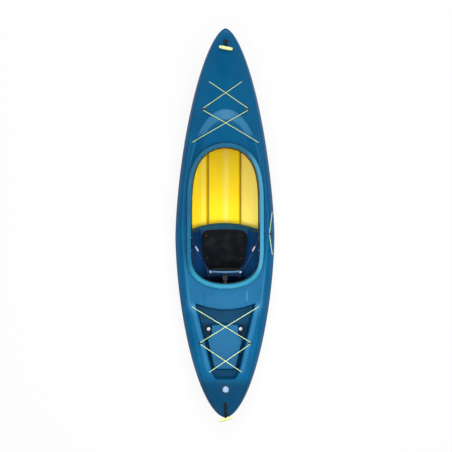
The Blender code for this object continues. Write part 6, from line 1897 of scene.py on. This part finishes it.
def domeHead(radius, high, socket=0.0):
    # half section of a domed head, from its rim up to its middle; a socket takes a share of its radius
    curve = oval(np.linspace(0, np.pi / 2, 9), radius, high).tolist()
    if socket:
        inner = radius * socket
        curve = [point for point in curve if point[0] > inner]
        curve += [(inner, high * 0.96), (inner * 0.9, high * 0.35), (0, high * 0.3)]
    return curve


def nodeMiddle(node):
    low, high = (np.array(corner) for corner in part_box(node))
    return (low + high) / 2 - shiftBy, (high - low) / 2


# shank, then radius and height of the head and of the nut or the far head
boltForm = {"shank": 0.003, "head": (0.008, 0.003), "tail": (0.0055, 0.004), "socket": 0.42}
rivetForm = {"shank": 0.0025, "head": (0.006, 0.0022), "tail": (0.0055, 0.0016)}
studForm = {"shank": 0.0032, "head": (0.0070, 0.0038), "foot": 0.0004}


def pinMesh(node, axis, reachHalf, steps, shank, head, tail, socket=0.0):
    # turned pin through the middle of its node, with a domed head towards "axis" and another at its far end
    top = reachHalf - head[1]
    low = tail[1] - reachHalf
    profile = [(r, low - z) for r, z in domeHead(*tail)][::-1]
    profile += [(tail[0], low), (shank, low), (shank, top), (head[0], top)]
    profile += [(r, top + z) for r, z in domeHead(*head, socket)]
    return turnedMesh(node, profile, nodeMiddle(node)[0], axis, steps)


def makeBolt(node, axis):
    # domed head with a socket at the end of "axis", shank, and a domed nut at the other end
    axis = unit(np.asarray(axis, float))
    reachHalf = float(nodeMiddle(node)[1] @ np.abs(axis))
    standIn(node, pinMesh(node, axis, reachHalf, 28, **boltForm), boltSteel, "hull", "steel")


def makeFasteners():
    for name, side in bothSides:
        for end in ("fore", "aft"):
            makeBolt(f"seat_bolt_{end}_{name}", (-side, 0, 0))
            makeBolt(f"rail_bolt_{end}_{name}", braceFrame(side)[2])
        for end in ("front", "rear"):
            makeStud(f"cushion_stud_{end}_{name}")
        makeRivet(f"strap_rivet_{name}", side * backForm["rivetX"])
    makeRivet("strap_rivet_rear", 0.0)
    makeBolt("rear_strap_bolt", (0, 1, 0))


def makeStud(node):
    # domed stud that goes down through the cushion, square to the seat's floor
    middle, half = nodeMiddle(node)
    shank, (radius, high), foot = studForm.values()
    end = half[2] - foot
    top = end - high - foot
    profile = [(0, -end), (shank, -end), (shank, top), (radius, top)]
    profile += [(r, top + z) for r, z in domeHead(radius, high)]
    axis = unit(np.array([0, -seatForm["slope"], 1.0]))
    standIn(node, turnedMesh(node, profile, middle, axis, 28), studBronze, "hull", "steel")


def makeRivet(node, x):
    axis = unit(np.array([2 * backForm["curve"] * x / backForm["topHalf"] ** 2, 0, 0]) - backOut)
    half = nodeMiddle(node)[1]
    reachHalf = (half[1] - rivetForm["head"][0] * math.sin(backForm["lean"])) / abs(axis[1])
    standIn(node, pinMesh(node, axis, reachHalf, 24, **rivetForm), boltSteel, "backrest", "steel")


def makeFoam(node):
    # closed-cell block, cut to the shape of the bottom and of what lies over it, its edges rounded
    middle, half = nodeMiddle(node)
    low, high = middle - half, middle + half
    y = np.linspace(low[1], high[1], 41)[:, None]
    across = edgeShares(13)[None, :]
    end = clip01(1 - np.minimum(y - low[1], high[1] - y) / 0.006)
    inset = 0.004 * fallAway(end)
    x = across * (half[0] - inset)
    side = 0.004 * fallAway(clip01((np.abs(across) - 0.86) / 0.14))
    floor = np.maximum(bottomHeight(0 * y, y) + hullForm["wall"] + 0.0006, low[2])
    roof = foamRoof(node, y, high[2])
    bottom = floor + inset + side
    top = roof - inset - side
    rows, cols = x.shape
    grid = [stacked(x, y, level) for level in (top, bottom)]
    faces = [gridFaces(rows, cols, flip=True), gridFaces(rows, cols, first=rows * cols)]
    rim = np.concatenate([np.arange(cols), np.arange(1, rows) * cols + cols - 1,
                          (rows - 1) * cols + np.arange(cols - 2, -1, -1), np.arange(rows - 2, 0, -1) * cols])
    after = np.roll(rim, -1)
    count = rows * cols
    faces.append(np.stack([rim, after, after + count, rim + count], -1)[:, ::-1])
    standIn(node, healed(meshOf(node, np.array(grid), faces, angle=50)), foamWhite, "hull", "white_foam")


def foamRoof(node, y, top):
    if node == "seat_foam":
        return np.minimum(seatPlane(y) - seatForm["wall"] - 0.0006, top)
    under = np.min([deckSurface(0 * y + x, y - back) for x, back in ((0, 0), (0.030, 0), (0, 0.004))], axis=0)
    return np.minimum(under - 0.0052, top)


def makeScuppers():
    for name, side in bothSides:
        node = "scupper_tube_" + name
        middle, half = nodeMiddle(node)
        bore, wall = wellForm["scupperRadius"], 0.005
        top = float(deckSurface(side * wellForm["scupperX"], scupperY)) - middle[2] - 0.0044
        low = -half[2]
        profile = [(bore, low), (bore + wall, low), (bore + wall, top), (bore, top), (bore, low)]
        standIn(node, turnedMesh(node, profile, middle, (0, 0, 1), 40), shellBlue, "hull", "blue_shell")


makeDrain()
makeBrace("port", -1)
makeBrace("starboard", 1)
makeFasteners()
for block in ("bow_foam", "stern_foam", "seat_foam"):
    makeFoam(block)
makeScuppers()
print("stage: drain, braces, screws, foam and scuppers made")


# Floor, light and camera.
studio = {
    "floorHalf": 30.0,
    "whiteShare": 0.88,       # how much of the floor's white is its own, so that a shadow still shows
    "horizon": 0.30,          # the sky's level, low, halfway up and straight above
    "high": 1.34,
    "zenith": 0.22,
    "lens": 202.3,
    "away": 20.0,
    "tilt": 2.2,              # degrees to port
    "aim": (0.0078, -0.0234, 0.2),
}


def makeFloor():
    half = studio["floorHalf"]
    corners = [(-half, -half, 0), (half, -half, 0), (half, half, 0), (-half, half, 0)]
    floor = newPiece("studioFloor", meshOf("studioFloor", corners, [np.array([[0, 1, 2, 3]])]))
    look, tree, shader = startLook("floorWhite")[:3]
    tree.nodes.remove(shader)
    matte = addNode(tree, "BsdfDiffuse", {"Color": (0.86, 0.86, 0.86, 1)})
    glow = addNode(tree, "Emission", {"Color": (1, 1, 1, 1), "Strength": 1.0})
    rays = addNode(tree, "LightPath").outputs
    through = addMath(tree, "MAXIMUM", rays["Is Glossy Ray"], rays["Is Transmission Ray"])
    seen = addMath(tree, "MAXIMUM", rays["Is Camera Ray"], through)
    share = product(tree, seen, studio["whiteShare"])
    both = addNode(tree, "MixShader", {0: share, 1: matte.outputs[0], 2: glow.outputs[0]})
    output = next(node for node in tree.nodes if node.type == "OUTPUT_MATERIAL")
    tree.links.new(both.outputs[0], output.inputs["Surface"])
    floor.data.materials.append(look)


def makeSky():
    # pale all round and dimmer overhead, white where the camera sees it
    world = bpy.data.worlds.new("studioSky")
    bpy.context.scene.world = world
    world.use_nodes = True
    tree = world.node_tree
    tree.nodes.clear()
    place = addNode(tree, "TexCoord").outputs["Generated"]
    up = addNode(tree, "SeparateXYZ", {0: place}).outputs["Z"]
    low = addRange(tree, up, 0.50, 0.85, studio["horizon"], studio["high"])
    level = product(tree, low, addRange(tree, up, 0.92, 1.0, 1.0, studio["zenith"] / studio["high"]))
    rays = addNode(tree, "LightPath").outputs
    direct = addMath(tree, "MAXIMUM", rays["Is Camera Ray"], rays["Is Transmission Ray"])
    lit = addNode(tree, "Background", {"Color": (1, 1, 1, 1), "Strength": level})
    seen = addNode(tree, "Background", {"Color": (1, 1, 1, 1), "Strength": 1.0})
    both = addNode(tree, "MixShader", {0: direct, 1: lit.outputs[0], 2: seen.outputs[0]})
    addNode(tree, "OutputWorld", {"Surface": both.outputs[0]})


# place, target, size and power; the bow's alone is mirrored in what is glossy
softboxes = {
    "bowSoftbox": ((0.3, 4.0, 3.4), (0, 0.8, 0.3), (2.6, 1.0), 75),
    "starboardSoftbox": ((3.4, -0.2, 1.9), (0, -0.2, 0.2), (0.8, 2.4), 17),
    "sternSoftbox": ((0.0, -0.80, 1.45), (0, -0.80, 0.3), (0.7, 0.8), 9),
    "cockpitSoftbox": ((0.0, -1.3, 3.0), (0, 0.45, 0.05), (0.5, 0.5), 16),
}


def addSoftbox(name, spot, target, size, power):
    lamp = bpy.data.lights.new(name, "AREA")
    lamp.shape, lamp.size, lamp.size_y, lamp.energy = "RECTANGLE", size[0], size[1], power
    holder = bpy.data.objects.new(name, lamp)
    bpy.context.scene.collection.objects.link(holder)
    holder.location = spot
    holder.rotation_euler = (Vector(target) - Vector(spot)).to_track_quat("-Z", "Y").to_euler()
    holder.visible_glossy = name == "bowSoftbox"


def makeCamera():
    tilt = math.radians(studio["tilt"])
    aim = Vector(studio["aim"]) + Vector(shiftBy)
    view = bpy.data.cameras.new("overheadCamera")
    view.lens, view.sensor_width, view.clip_end = studio["lens"], 36.0, 200.0
    camera = bpy.data.objects.new("overheadCamera", view)
    camera.location = aim + studio["away"] * Vector((-math.sin(tilt), 0, math.cos(tilt)))
    camera.rotation_euler = (0, -tilt, 0)
    bpy.context.scene.collection.objects.link(camera)
    bpy.context.scene.camera = camera


makeFloor()
makeSky()
for name, settings in softboxes.items():
    addSoftbox(name, *settings)
makeCamera()
bpy.context.scene.view_settings.view_transform = "Standard"
print("stage: floor, light and camera made")
